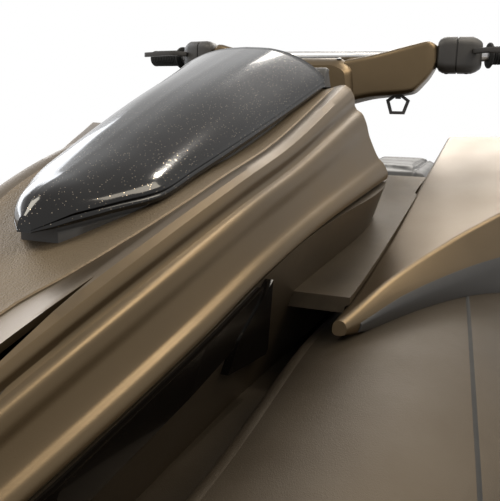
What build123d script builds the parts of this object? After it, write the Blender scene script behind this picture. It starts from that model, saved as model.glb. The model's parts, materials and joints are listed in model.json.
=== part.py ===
from build123d import *
import os
from math import cos, radians, sin

os.makedirs("parts", exist_ok=True)

# A sit-down personal watercraft for three riders, in millimetres.
# X runs to port, Y runs from bow to stern, Z is up and zero at the waterline.
# Y is zero amidships, so the bow tip is at minus half the length.

# Running gaps and walls
SEAT_GAP = 0.3
SHUT_GAP = 4.0
SWING_GAP = 6.0
MOULD_WALL = 6.0
TUB_WALL = 4.0
HIGH_Z = 1000.0
CUT_WIDE = 700.0
CUT_OVER = 50.0

# Whole boat
HALF_LENGTH = 1790.0
TRANSOM_Y = 1690.0
SHEER_BOW_Z = 335.0
SHEER_MID_Z = 115.0
SHEER_STERN_Z = 115.0
RAIL_THICK = 12.0
RAIL_DEEP = 34.0
RAIL_BEVEL = 6.0
RAIL_SUNK = 4.0

# Columns: y, keel z, chine x, chine z, sheer x, bulge x, bulge z, crest x, crest z
BODY_STATIONS = (
    (-1790, 270, 9, 282, 22, 19, 346, 12, 354),
    (-1700, 40, 55, 130, 158, 136, 374, 74, 402),
    (-1540, -130, 155, 35, 312, 278, 392, 142, 440),
    (-1330, -225, 278, -33, 442, 388, 414, 178, 480),
    (-1080, -275, 382, -73, 542, 488, 427, 184, 512),
    (-780, -296, 448, -99, 603, 552, 424, 240, 530),
    (-430, -300, 490, -113, 623, 588, 372, 335, 492),
    (0, -300, 505, -120, 623, 600, 292, 425, 386),
    (480, -300, 506, -123, 620, 600, 238, 462, 290),
    (960, -300, 503, -125, 610, 592, 205, 470, 240),
    (1400, -300, 494, -124, 588, 571, 184, 452, 215),
    (1790, -294, 472, -119, 548, 533, 172, 428, 203),
)
CHINE_FLAT = 42.0
CHINE_RISE = 8.0
CREST_ROUND = 16.0
GUTTER_STEP_X = 30.0
GUTTER_DROP = 52.0
# Near the stem these keep to shares of the width and height there
CHINE_SHARE = 0.4
CREST_SHARE = 0.3
GUTTER_SHARE = 0.5
# Columns: shares of the crest's radius inwards and downwards
CREST_ARC = (
    (0.7, 0.2),
    (1.0, 0.8),
)

# Footwells, mirrored port and starboard
WELL_INNER_X = 232.0
WELL_OUTER_X = 452.0
WELL_FRONT_Y = -430.0
WELL_REAR_Y = 1120.0
WELL_FLOOR_Z = 30.0
WELL_CORNER = 90.0
MAT_THICK = 6.0
MAT_MARGIN = 22.0

# Joints between foredeck, side decks and pedestal
FOREDECK_END_Y = -700.0
PEDESTAL_JOINT_X = 226.0
PEDESTAL_JOINT_Y = 1185.0

# Seat pedestal and engine bay
PEDESTAL_FRONT_Y = -330.0
PEDESTAL_REAR_Y = 1140.0
PEDESTAL_TOP_Z = 395.0
# Columns: z, half width, front y, rear y
PEDESTAL_RINGS = (
    (-60, 230, -370, 1190),
    (WELL_FLOOR_Z, 222, -360, 1180),
    (PEDESTAL_TOP_Z, 172, PEDESTAL_FRONT_Y, PEDESTAL_REAR_Y),
)
PEDESTAL_CORNER = 60.0
BAY_FRONT_Y = -180.0
BAY_REAR_Y = 930.0
BAY_HALF_X = 138.0
BAY_FLOOR_Z = -200.0
BAY_CORNER = 40.0
ENGINE_LONG = 520.0
ENGINE_WIDE = 250.0
ENGINE_TALL = 400.0
ENGINE_FRONT_Y = 130.0
ENGINE_CORNER = 20.0

# Prow pedestal under the hood, columns: y, lid x, lid z (the hood's lower edge)
LID_FRONT_Y = -1640.0
LID_REAR_Y = -862.0
# Columns: y, lower edge x, lower edge z, shoulder x, shoulder z
LID_STATIONS = (
    (-1640, 52, 458, 38, 500),
    (-1560, 84, 482, 62, 552),
    (-1460, 106, 511, 80, 597),
    (-1310, 138, 562, 107, 654),
    (-1200, 156, 599, 123, 690),
    (-1083, 175, 631, 133, 722),
    (-862, 216, 680, 151, 804),
)
# Columns: share of the flank from its lower edge up, swell outwards
LID_PROFILE = (
    (0.0, -3.0),
    (0.05, 0.5),
    (0.15, 0.5),
    (0.24, -2.0),
    (0.44, -1.5),
    (0.60, 1.5),
    (0.68, 1.0),
    (0.77, -2.5),
    (0.86, 0.5),
    (0.93, 0.5),
)
# Columns: share of the hood's edge radius inwards, share of the dish downwards
LID_SHOULDER = (
    (0.3, 0.0),
    (0.7, 0.0),
    (1.2, 0.18),
    (1.9, 0.5),
    (3.6, 0.85),
)
LID_ROUND = 14.0
LID_DISH = 9.0
LID_WALL = 7.0
LID_SIDE_WALL = 10.5
LID_HINGE_Y = -1650.0
LID_HINGE_Z = 448.0
LID_PIN_R = 5.0
LID_KNUCKLE_R = 11.0
LID_KNUCKLE_X = 26.0
LID_LEAF = 30.0
LID_EAR = 8.0
LID_EAR_FOOT_Z = 380.0
PROW_TUCK = 49.0
PROW_DEEP = 170.0
PROW_SHARE = 0.4

# Slot on the hood's top panel beside the shoulder
SLOT_REAR_Y = -1384.0
SLOT_FRONT_Y = -1560.0
SLOT_REAR_X = 86.0
SLOT_FRONT_X = 44.0
SLOT_WIDE = 24.0
SLOT_DEEP = 5.0
PANEL_LOW_Z = 400.0

# Textured panel on the hood, columns: y, half width
PANEL_OUTLINE = (
    (-1620, 10),
    (-1500, 26),
    (-1420, 40),
    (-1384, 58),
    (-1340, 76),
    (-1240, 98),
    (-870, 131),
)
PANEL_THICK = 1.2

# Bow storage bin
BIN_FRONT_Y = -1500.0
BIN_REAR_Y = -930.0
BIN_FRONT_HALF = 46.0
BIN_REAR_HALF = 112.0
BIN_FLOOR_Z = 352.0

# Gloss cowl on the hood
# Columns: y, half width, lip z, crest z of the cowl's dome
COWL_STATIONS = (
    (-1357, 7, 647, 661),
    (-1340, 24, 651, 679),
    (-1300, 48, 660, 694),
    (-1250, 71, 670, 714),
    (-1200, 77, 686, 736),
    (-1100, 89, 718, 777),
    (-1000, 101, 751, 812),
    (-868, 120, 799, 856),
)
# Columns: share of the half width, share of the dome's height
COWL_ARCH = (
    (1.0, 0.0),
    (0.985, 0.11),
    (0.94, 0.24),
    (0.84, 0.44),
    (0.68, 0.67),
    (0.47, 0.87),
    (0.25, 0.97),
)
COWL_LIP = 9.0
COWL_CHAMFER = 3.0
PLINTH_INSET = 9.0
PLINTH_NOSE = 8.0

# Flank trim and accent under the hood's lower edge
TRIM_THICK = 7.0
TRIM_TALL = 46.0
ACCENT_THICK = 8.5
ACCENT_TIP_Y = -1196.0
ACCENT_FRONT_Y = -1236.0
ACCENT_REAR_Y = -1140.0
ACCENT_TALL = 96.0
ACCENT_RISE = 8.0
ACCENT_SHARE = 0.45
TRIM_STATIONS = (-1600, -1460, -1310, -1212)
TRIM_SHADOW = 2.0
TRIM_SUNK = 12.0

# Mirror pods, columns: y, inner top x, inner top z, outer top x, outer top z,
# outer mid x, outer mid z, outer low x, outer low z, inner low x, inner low z
POD_STATIONS = (
    (-1122, 205, 540, 216, 541, 221, 533, 218, 524, 204, 524),
    (-1050, 215, 560, 250, 574, 266, 553, 260, 512, 213, 518),
    (-940, 225, 594, 312, 613, 334, 574, 326, 506, 223, 512),
    (-780, 240, 648, 414, 668, 436, 605, 424, 494, 237, 506),
    (-500, 265, 741, 509, 748, 534, 668, 518, 470, 261, 480),
)
MIRROR_THICK = 5.0
MIRROR_MARGIN = 16.0
MIRROR_INSET = 14.0
MIRROR_SLANT = 1.25
INSERT_THICK = 4.0
# Columns: y, x, top z, low z (the dark insert low on the pod's outer face)
INSERT_STATIONS = (
    (-1104, 226, 536, 525),
    (-1040, 272, 558, 517),
    (-940, 336, 578, 515),
    (-780, 436, 600, 510),
    (-545, 524, 640, 506),
)
INSERT_REACH = 60.0

# Plate from the prow to the pod, columns: y, top z
ARM_STATIONS = (
    (-1090, 559),
    (-1000, 583),
    (-800, 643),
    (-690, 674),
)
ARM_THICK = 18.0
ARM_ROOT_X = 95.0
ARM_LAP = 6.0

# Console behind the hood, columns: y, foot x, foot z, shoulder x, shoulder z, top z
CONSOLE_STATIONS = (
    (-856, 200, 440, 146, 780, 792),
    (-740, 208, 430, 140, 752, 766),
    (-560, 208, 400, 132, 676, 692),
    (-430, 206, 330, 124, 640, 650),
    (-250, 200, 300, 116, 584, 592),
)
CONSOLE_ROUND = 28.0
DISPLAY_WIDE = 190.0
DISPLAY_CORNER = 14.0
DISPLAY_TALL = 92.0
DISPLAY_THICK = 26.0
DISPLAY_Y = -742.0
DISPLAY_Z = 792.0
DISPLAY_TILT = 38.0
GLOVE_FRONT_Y = -398.0
GLOVE_REAR_Y = -275.0
GLOVE_HALF_X = 74.0
GLOVE_DEEP = 110.0
GLOVE_LID_THICK = 9.0
GLOVE_LID_LIP = 12.0
GLOVE_BARREL_R = 6.0

# Steering, about an axis that leans back to the rider
STEER_Y = -470.0
STEER_Z = 690.0
STEER_LEAN = 18.0
NECK_R = 46.0
NECK_FOOT_R = 58.0
NECK_TALL = 62.0
NECK_SUNK = 60.0
STEM_R = 24.0
STEM_TALL = 148.0
COLLAR_R = 42.0
COLLAR_TALL = 16.0
BAR_R = 11.0
BAR_Y = -452.0
BAR_Z = 893.0
BAR_ELBOW_X = 215.0
BAR_END_X = 405.0
BAR_SWEEP = 62.0
BAR_RISE = 6.0
BAR_BEND = 60.0
COVER_LOW_Z = 800.0
# Columns: y, half width, top z (the pad in the middle of the handlebar cover)
COVER_PAD = (
    (-510, 78, 877),
    (-482, 86, 886),
    (-420, 86, 886),
    (-394, 79, 878),
)
COVER_FOOT_SHARE = 0.8
COVER_WAIST = 22.0
COVER_BROW_SHARE = 0.92
COVER_BROW = 18.0
COVER_TOP_SHARE = 0.62
# Columns: x, front y, rear y, low z, top z (the arms of the handlebar cover)
COVER_ARM = (
    (62, -500, -404, 800, 882),
    (112, -492, -410, 812, 892),
    (189, -484, -416, 822, 912),
    (215, -478, -422, 846, 918),
    (231, -474, -426, 866, 916),
)
COVER_ARM_TAPER = 4.0
HOUSING_IN_X = 231.0
# Columns: x from the inner end, growth of the section
HOUSING_RINGS = (
    (0, -6),
    (10, 0),
    (66, 0),
    (80, -9),
)
HOUSING_TALL = 66.0
HOUSING_DEEP = 58.0
HOUSING_FLAT_SHARE = 0.6
HOUSING_SIDE_SHARE = 0.7
GRIP_R = 17.0
GRIP_IN_X = 321.0
GRIP_OVER = 4.0
GRIP_FLANGE = 6.0
GRIP_FLANGE_R = 24.0
LEVER_ROOT_X = 293.0
LEVER_THICK = 9.0
# Columns: x and y from the lever's root on the bar
LEVER_OUTLINE = (
    (0, -31),
    (30, -52),
    (108, -30),
    (112, -18),
    (34, -36),
    (6, -21),
)
LOOP_X = 164.0
LOOP_Z = 801.0
LOOP_R = 24.0
LOOP_WIRE = 7.0
LOOP_HANGER = 10.0
LOOP_SIDES = 5
LOOP_TURN = 90.0

# Seats, columns: y, half width low, half width top, top z
SEAT_FRONT_STATIONS = (
    (-238, 98, 76, 566),
    (-120, 128, 96, 588),
    (160, 170, 138, 600),
    (470, 178, 146, 622),
)
SEAT_REAR_STATIONS = (
    (476, 178, 148, 648),
    (760, 180, 150, 660),
    (1050, 172, 140, 668),
    (1120, 158, 118, 640),
)
SEAT_SKIRT = 14.0
SEAT_TUCK = 10.0
SEAT_BELLY = 4.0
SEAT_BELLY_UP = 40.0
SEAT_SHOULDER = 14.0
SEAT_SHOULDER_DOWN = 30.0
SEAT_EDGE = 8.0
SEAT_EDGE_DOWN = 6.0
SEAT_CROWN_SHARE = 0.5
SEAT_NOSE_Y = SEAT_FRONT_STATIONS[0][0]

# Stern fittings
GRAB_Y = 1162.0
GRAB_HALF_X = 120.0
GRAB_TOP_Z = 560.0
GRAB_FOOT_Z = 255.0
GRAB_LEAN = 4.0
GRAB_BEND = 50.0
GRAB_R = 14.0
PLATFORM_MAT_FRONT = 1230.0
PLATFORM_MAT_REAR = 1760.0
PLATFORM_MAT_HALF = 360.0
PLATFORM_MAT_CORNER = 50.0
STEP_Y = 1714.0
STEP_Z = -110.0
STEP_HALF_X = 176.0
STEP_TALL = 178.0
STEP_R = 12.0
STEP_PIN_R = 6.0
STEP_BEND = 34.0
TREAD_IN = 40.0
TREAD_DEEP = 22.0
TREAD_OVER = 2.0
TREAD_CORNER = 6.0
STEP_EYE_HALF = 13.0
STEP_EYE_WALL = 5.0
BRACKET_PLATE = 6.0
BRACKET_OVER = 10.0
BRACKET_TALL = 32.0
BRACKET_FOOT_WIDE = 44.0
BRACKET_FOOT_TALL = 48.0
BRACKET_FOOT_THICK = 4.0
EYE_R = 14.0
EYE_WIRE = 5.0
EYE_BEND = 12.6
BOW_EYE_Z = 150.0
BOW_EYE_IN_Y = -1700.0
BOW_EYE_OUT_Y = -1768.0
TOW_EYE_LOW_Z = 120.0
TOW_EYE_TOP_Z = 207.5
TOW_EYE_Y = 1772.0
CLEAT_LONG = 92.0
CLEAT_STAND = 36.0
CLEAT_BAR_R = 8.0
CLEAT_LEG_R = 7.0
CLEAT_LEG_LONG = 106.0
CLEAT_LEG_APART = 40.0
CLEAT_Y = 1215.0
CLEAT_X = 508.0
FUEL_CAP_X = -400.0
FUEL_CAP_Y = -1130.0
FUEL_CAP_R = 44.0
FUEL_CAP_TALL = 10.0
DRAIN_X = 230.0
DRAIN_Z = -170.0
DRAIN_R = 16.0
DRAIN_PROUD = 14.0
SPONSON_FRONT_Y = 760.0
# Columns: y from the sponson's nose, how far it stands out
SPONSON_RINGS = (
    (0, 4),
    (120, 22),
    (780, 22),
)
SPONSON_DEEP = 44.0
SPONSON_FLARE = 10.0
SPONSON_SUNK = 30.0
SPONSON_UNDER = 4.0

# Jet pump in its tunnel
PUMP_Z = -145.0
TUNNEL_HALF_X = 142.0
TUNNEL_FRONT_Y = 1215.0
TUNNEL_TOP_Z = 68.0
PUMP_BORE = 160.0
PUMP_WALL = 12.0
PUMP_LONG = 190.0
PUMP_FLANGE = 14.0
PUMP_FLANGE_R = 102.0
CONE_START_Y = 1465.0
OUTLET_R = 43.0
OUTLET_WALL = 6.0
OUTLET_Y = 1566.0
OUTLET_CONE_Y = 1518.0
VANE_COUNT = 5
VANE_THICK = 6.0
VANE_LONG = 56.0
VANE_LAP = 6.0
VANE_Y = 1440.0
VANE_HUB_LONG = 66.0
HUB_R = 34.0
IMPELLER_Y = 1285.0
IMPELLER_HUB_LONG = 78.0
BLADE_COUNT = 4
BLADE_THICK = 6.0
BLADE_TIP_GAP = 1.0
BLADE_LONG = 64.0
BLADE_TWIST = 42.0
BLADE_LAP = 4.0
BLADE_IN = 3.0
SHAFT_R = 12.0
SHAFT_FRONT_Y = 970.0
NOZZLE_PIVOT_Y = 1574.0
NOZZLE_MOUTH_R = 64.0
NOZZLE_TIP_R = 40.0
NOZZLE_WALL = 6.0
NOZZLE_LONG = 96.0
NOZZLE_FRONT = 12.0
NOZZLE_NECK = 14.0
NOZZLE_PIN_R = 6.0
NOZZLE_PIN_IN = 1.0
NOZZLE_ARM_LONG = 34.0
NOZZLE_ARM_THICK = 10.0
NOZZLE_ARM_Y = -8.0
NOZZLE_ARM_WIDE = 20.0
EAR_THICK = 10.0
EAR_WIDE = 32.0
EAR_OVER = 14.0
EAR_FRONT_Y = 1460.0
POST_SUNK = 4.0
POST_FRONT_Y = 1415.0
POST_REAR_Y = 1465.0
BUCKET_Y = 1492.0
BUCKET_IN_R = 198.0
BUCKET_WALL = 6.0
BUCKET_HALF_X = 112.0
BUCKET_ARC = 76.0
BUCKET_REST = 20.0
BUCKET_PIN_R = 7.0
BUCKET_PIN_SUNK = 6.0
BUCKET_PIN_OUT_X = 134.0
BUCKET_BOSS_R = 15.0
BUCKET_BOSS_SUNK = 14.0
BUCKET_BOSS_OUT_X = 104.0
CHEEK_TRIM = 2.0
CHEEK_ROOT_R = 24.0
CHEEK_SPREAD = 60.0
CHEEK_HUB_R = 26.0
INTAKE_FRONT_Y = 800.0
INTAKE_REAR_Y = 1150.0
INTAKE_TOP_Y = 1190.0
INTAKE_HALF_X = 78.0
INTAKE_LIP = 36.0
KEEL_Z = -300.0
GRATE_TOP_Z = -236.0
GRATE_DEEP = 16.0
GRATE_BARS = 5
GRATE_BAR = 9.0
RIDE_PLATE_THICK = 8.0
RIDE_PLATE_Z = -256.0
RIDE_PLATE_END_Y = 1594.0
RIDE_PLATE_CORNER = 10.0
RIB_X = (-80, 0, 80)
RIB_THICK = 6.0
RIB_DEEP = 8.0
RIB_IN = 30.0


def mirrored(shape):
    """The starboard twin of a port piece."""
    return shape.mirror(Plane.YZ)


def pair(shape):
    """A port piece and its starboard twin in one compound."""
    return Compound(children=[shape, mirrored(shape)])


def between(y, table, column):
    """A column of a station table at any y, by straight lines between rows."""
    rows = list(table)
    for low, high in zip(rows, rows[1:]):
        if y <= high[0] or high is rows[-1]:
            share = (y - low[0]) / (high[0] - low[0])
            return low[column] + share * (high[column] - low[column])


def ring(y, points):
    """A closed wire across the boat at y, through (x, z) points."""
    return Wire.make_polygon([Vector(x, y, z) for x, z in points], close=True)


def half_ring(y, points):
    """A closed wire from a port half outline, which runs from low to high."""
    port = list(points)
    starboard = [(-x, z) for x, z in reversed(port) if x]
    return ring(y, port + starboard)


def skin(wires, ruled=False):
    """A solid lofted through wires."""
    return Solid.make_loft(wires, ruled)


def block(x0, x1, y0, y1, z0, z1):
    """A box between two corners."""
    size = (x1 - x0, y1 - y0, z1 - z0)
    return Pos((x0 + x1) / 2, (y0 + y1) / 2, (z0 + z1) / 2) * Box(*size)


def rounded_block(x0, x1, y0, y1, z0, z1, corner):
    """A box with its upright corners rounded."""
    plan = Pos((x0 + x1) / 2, (y0 + y1) / 2, z0) * RectangleRounded(x1 - x0, y1 - y0, corner)
    return extrude(plan, z1 - z0)


def rod(start, end, radius):
    """A round bar between two points."""
    way = Vector(*end) - Vector(*start)
    return extrude(Plane(Vector(*start), z_dir=way) * Circle(radius), way.length)


def across(x0, x1, y, z, radius):
    """A round bar along X."""
    return rod((x0, y, z), (x1, y, z), radius)


def tube_path(points, bend, radius):
    """A bent round bar through points, with one bend radius."""
    path = FilletPolyline(*[Vector(*p) for p in points], radius=bend)
    face = Plane(path @ 0, z_dir=path % 0) * Circle(radius)
    return sweep(face, path=path)


def solids_of(shape):
    """The solids of a shape, largest first."""
    return sorted(shape.solids(), key=lambda s: -s.volume)


def save(name, shape, keep=None):
    """Writes one node; keep is how many of the largest solids belong to it."""
    found = solids_of(shape)
    kept = found if keep is None else found[:keep]
    whole = kept[0] if len(kept) == 1 else Compound(children=kept)
    export_step(whole, f"parts/{name}.step")
    return whole


def sheer_line():
    """The side view of the joint between hull and deck, straight between stations."""
    return Polyline(*[(0, row[0], sheer_z(row[0])) for row in BODY_STATIONS])


def sheer_z(y):
    """Height of the sheer line at a station's y, on a parabola."""
    t = (y + HALF_LENGTH) / (2 * HALF_LENGTH)
    return (1 - t) ** 2 * SHEER_BOW_Z + 2 * t * (1 - t) * SHEER_MID_Z + t**2 * SHEER_STERN_Z


def below_sheer(raise_by=0.0):
    """Everything under the sheer line, as one wide solid."""
    deep = -2 * HALF_LENGTH
    line = Pos(0, 0, raise_by) * sheer_line()
    start, end = line @ 0, line @ 1
    floor = Polyline(
        end, (0, HALF_LENGTH, deep), (0, -HALF_LENGTH, deep), start
    )
    face = make_face([*line.edges(), *floor.edges()])
    return extrude(face, HALF_LENGTH, dir=(1, 0, 0), both=True)


def body_ring(row):
    """One cross section of hull and deck together."""
    y, keel, chine_x, chine_z, sheer_x, bulge_x, bulge_z, crest_x, crest_z = row
    edge_z = sheer_z(y)
    flat = min(CHINE_FLAT, CHINE_SHARE * chine_x)
    small = CREST_SHARE * crest_x
    curl = min(CREST_ROUND, small)
    step = min(GUTTER_STEP_X, small + curl)
    drop = min(GUTTER_DROP, GUTTER_SHARE * (crest_z - edge_z))

    def edges(side):
        k = Vector(0, y, keel)
        c = Vector(side * chine_x, y, chine_z)
        f = Vector(side * (chine_x + flat), y, chine_z + CHINE_RISE)
        s = Vector(side * sheer_x, y, edge_z)
        b = Vector(side * bulge_x, y, bulge_z)
        r = Vector(side * crest_x, y, crest_z)
        m, w = [
            Vector(side * (crest_x - inwards * curl), y, crest_z - down * curl)
            for inwards, down in CREST_ARC
        ]
        g = Vector(side * (crest_x - step), y, crest_z - drop)
        return [
            Edge.make_line(k, c),
            Edge.make_line(c, f),
            Edge.make_line(f, s),
            Edge.make_three_point_arc(s, b, r),
            Edge.make_three_point_arc(r, m, w),
            Edge.make_line(w, g),
        ], g

    port, port_end = edges(1)
    starboard, starboard_end = edges(-1)
    return Wire([*port, Edge.make_line(port_end, starboard_end), *reversed(starboard)])


def whole_body():
    """Hull and deck as one lofted solid."""
    return skin([body_ring(row) for row in BODY_STATIONS])


def hinge_pocket():
    """The pocket in the prow round the hood's hinge."""
    half = LID_KNUCKLE_X + LID_EAR + 2 * SHUT_GAP
    round_y = LID_KNUCKLE_R + SHUT_GAP
    end_y = LID_FRONT_Y + LID_LEAF + SHUT_GAP
    return block(-half, half, LID_HINGE_Y - round_y, end_y, LID_HINGE_Z - round_y, HIGH_Z)


def prow_side_x(y, z):
    """Half width of the prow's side at y and z."""
    x = between(y, LID_STATIONS, 1) - SHUT_GAP
    top = between(y, LID_STATIONS, 2) - SHUT_GAP
    return x - PROW_TUCK / PROW_DEEP * (top - z)


def prow_ring(y):
    """The prow pedestal under the hood's lower edge, tucked in going down."""
    x = between(y, LID_STATIONS, 1) - SHUT_GAP
    z = between(y, LID_STATIONS, 2) - SHUT_GAP
    foot = x - min(PROW_TUCK, PROW_SHARE * x)
    return half_ring(y, [(foot, z - PROW_DEEP), (x, z)])


def prow():
    """The pedestal that the hood closes on."""
    rings = [prow_ring(row[0]) for row in LID_STATIONS]
    return skin(rings)


def bin_shape(grow, floor):
    """The bow bin's tapered outline, grown by a wall."""
    front, rear = BIN_FRONT_Y - grow, BIN_REAR_Y + grow
    top = HIGH_Z
    return skin(
        [
            half_ring(front, [(BIN_FRONT_HALF + grow, floor), (BIN_FRONT_HALF + grow, top)]),
            half_ring(rear, [(BIN_REAR_HALF + grow, floor), (BIN_REAR_HALF + grow, top)]),
        ],
        ruled=True,
    )


def well_shape(grow, drop):
    """One port footwell, grown outwards by a wall and downwards by drop."""
    return rounded_block(
        WELL_INNER_X - grow,
        WELL_OUTER_X + grow,
        WELL_FRONT_Y - grow,
        WELL_REAR_Y + grow,
        WELL_FLOOR_Z - drop,
        HIGH_Z,
        WELL_CORNER + grow,
    )


def seat_pocket():
    """What the deck gives up above the pedestal so that the seats lie flat."""
    half = (WELL_INNER_X + WELL_OUTER_X) / 2
    return block(-half, half, SEAT_NOSE_Y - SHUT_GAP, PEDESTAL_REAR_Y, PEDESTAL_TOP_Z, HIGH_Z)


def seat_pedestal():
    """The raised box between the footwells that carries the seats."""
    rings = []
    for z, half, front, rear in PEDESTAL_RINGS:
        middle = (front + rear) / 2
        plan = Pos(0, middle, z) * RectangleRounded(2 * half, rear - front, PEDESTAL_CORNER)
        rings.append(plan.faces()[0].outer_wire())
    return skin(rings, ruled=True)


def bay_shape():
    """The engine bay through the pedestal down into the hull."""
    return rounded_block(-BAY_HALF_X, BAY_HALF_X, BAY_FRONT_Y, BAY_REAR_Y, BAY_FLOOR_Z, HIGH_Z, BAY_CORNER)


def tunnel_shape():
    """The pump tunnel, open below and at the transom."""
    half, end_y = TUNNEL_HALF_X, HALF_LENGTH + CUT_OVER
    return block(-half, half, TUNNEL_FRONT_Y, end_y, -HIGH_Z, TUNNEL_TOP_Z)


def intake_ramp_z(y):
    """Height of the intake's roof at y, rising from the keel to the pump."""
    share = (y - INTAKE_FRONT_Y) / (INTAKE_TOP_Y - INTAKE_FRONT_Y)
    return KEEL_Z + share * (PUMP_Z + INTAKE_HALF_X - KEEL_Z)


def intake_shape():
    """The water intake in the hull's bottom with its ramp up to the pump."""
    end_y = TUNNEL_FRONT_Y + PUMP_FLANGE
    side = [
        (INTAKE_FRONT_Y, 2 * KEEL_Z),
        (INTAKE_FRONT_Y, KEEL_Z),
        (INTAKE_TOP_Y, intake_ramp_z(INTAKE_TOP_Y)),
        (end_y, intake_ramp_z(INTAKE_TOP_Y)),
        (end_y, PUMP_Z - INTAKE_HALF_X),
        (INTAKE_REAR_Y, PUMP_Z - INTAKE_HALF_X - INTAKE_LIP),
        (INTAKE_REAR_Y, 2 * KEEL_Z),
    ]
    throat = rod((0, INTAKE_FRONT_Y, PUMP_Z), (0, end_y, PUMP_Z), INTAKE_HALF_X)
    mouth = block(-INTAKE_HALF_X, INTAKE_HALF_X, INTAKE_FRONT_Y, INTAKE_REAR_Y, 2 * KEEL_Z, PUMP_Z)
    return side_prism(side, INTAKE_HALF_X) & (throat + mouth)


def hull_and_deck():
    """The hull below the sheer line and the deck moulding above it."""
    body = whole_body()
    under = below_sheer()
    port_out, port_in = well_shape(MOULD_WALL, MOULD_WALL), well_shape(0, 0)
    wells_out = [port_out, mirrored(port_out)]
    wells_in = [port_in, mirrored(port_in)]
    stern_cut = block(-CUT_WIDE, CUT_WIDE, TRANSOM_Y, HALF_LENGTH + CUT_OVER, -CUT_WIDE, CUT_WIDE)
    shaft_ends = ((0, BAY_REAR_Y - CUT_OVER, PUMP_Z), (0, TUNNEL_FRONT_Y + CUT_OVER, PUMP_Z))
    shaft_bore = rod(*shaft_ends, SHAFT_R + SWING_GAP)
    lower = body & under
    hull = lower - stern_cut - tunnel_shape() - intake_shape() - bay_shape() - shaft_bore
    for well in wells_out:
        hull -= well
    upper = body - under
    for well in wells_out:
        upper += lower & well
    upper += seat_pedestal() - under
    upper += prow() - under
    for well in wells_in:
        upper -= well
    upper -= bay_shape()
    upper -= seat_pocket()
    upper -= bin_shape(TUB_WALL, BIN_FLOOR_Z - TUB_WALL)
    upper -= hinge_pocket()
    return hull, upper


def deck_mouldings(deck):
    """The deck parted into foredeck, side decks and seat pedestal."""
    wide, joint_x = CUT_WIDE, PEDESTAL_JOINT_X
    fore = block(-wide, wide, -HALF_LENGTH, FOREDECK_END_Y, -wide, wide)
    middle = block(-joint_x, joint_x, FOREDECK_END_Y, PEDESTAL_JOINT_Y, -wide, wide)
    return deck & fore, deck - fore - middle, deck & middle


def rail(body):
    """The rubber band round the boat over the joint of hull and deck."""
    grown = []
    for row in BODY_STATIONS:
        y, sheer_x = row[0], row[4]
        z = sheer_z(y)
        half = RAIL_DEEP / 2
        wide = sheer_x + RAIL_THICK
        flat = half - RAIL_BEVEL
        back = wide - RAIL_SUNK
        grown.append(half_ring(y, [(back, z - half), (wide, z - flat), (wide, z + flat), (back, z + half)]))
    band = skin(grown)
    return band - body


def lid_ring(row):
    """One cross section of the hood, its flank swelling in two soft beads."""
    y, low_x, low_z, top_x, top_z = row
    run = Vector(top_x - low_x, 0, top_z - low_z)
    out = Vector(run.Z, 0, -run.X).normalized()
    small = min(1.0, top_x / LID_STATIONS[2][3])
    low = Vector(low_x, y, low_z)
    flank = [low + run * share + out * swell * small for share, swell in LID_PROFILE]
    shoulder = [(top_x - LID_ROUND * small * a, top_z - LID_DISH * small * b) for a, b in LID_SHOULDER]
    return half_ring(y, [(v.X, v.Z) for v in flank] + shoulder + [(0, top_z - LID_DISH * small)])


def lid_blank():
    """The hood's outer form as a solid."""
    return skin([lid_ring(row) for row in LID_STATIONS], ruled=True)


def lid_hollow():
    """The room inside the hood."""
    rings = []
    ends = (LID_FRONT_Y + LID_WALL, LID_REAR_Y - LID_WALL)
    for y in (ends[0], *[row[0] for row in LID_STATIONS[1:-1]], ends[1]):
        low_x, low_z, top_x, top_z = [between(y, LID_STATIONS, column) for column in range(1, 5)]
        low = (low_x - LID_SIDE_WALL, low_z - LID_WALL)
        high = (top_x - LID_SIDE_WALL, top_z - LID_DISH - LID_WALL)
        rings.append(half_ring(y, [low, high]))
    return skin(rings, ruled=True)


def slot_cut(side):
    """The form of the slot beside the shoulder, open upwards."""
    outline = [
        (side * SLOT_REAR_X, SLOT_REAR_Y),
        (side * (SLOT_FRONT_X + SLOT_WIDE), SLOT_FRONT_Y),
        (side * SLOT_FRONT_X, SLOT_FRONT_Y),
    ]
    deep = LID_DISH + SLOT_DEEP
    ends = [between(y, LID_STATIONS, 4) - deep for y in (SLOT_FRONT_Y, SLOT_REAR_Y)]
    fall = (ends[1] - ends[0]) / (SLOT_REAR_Y - SLOT_FRONT_Y)
    floor = [Vector(x, y, ends[0] + fall * (y - SLOT_FRONT_Y)) for x, y in outline]
    return extrude(Face(Wire.make_polygon(floor, close=True)), HIGH_Z, dir=(0, 0, 1))


def hood(lid):
    """The hinged hood: a shell with beaded flanks, dished top panel and slots."""
    shell = lid - lid_hollow()
    for side in (1, -1):
        shell -= slot_cut(side)
    ends = (-LID_KNUCKLE_X, LID_KNUCKLE_X)
    knuckle = across(*ends, LID_HINGE_Y, LID_HINGE_Z, LID_KNUCKLE_R)
    leaf = block(*ends, LID_HINGE_Y, LID_FRONT_Y + LID_LEAF, LID_HINGE_Z, LID_HINGE_Z + LID_KNUCKLE_R)
    bore = across(2 * ends[0], 2 * ends[1], LID_HINGE_Y, LID_HINGE_Z, LID_PIN_R + SEAT_GAP)
    return (shell + knuckle + leaf) - bore


def panel_band():
    """The plan of the textured panel in the hood's dished top."""
    return extrude(outline_face(PANEL_OUTLINE, PANEL_LOW_Z), HIGH_Z - PANEL_LOW_Z, dir=(0, 0, 1))


def hood_panel(lid):
    """The thin textured panel laid on the hood's dished top."""
    lift = SEAT_GAP + PANEL_THICK
    raised = (Pos(0, 0, lift) * lid) & panel_band()
    return solids_of(raised - (Pos(0, 0, SEAT_GAP) * lid))[0]


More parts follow.
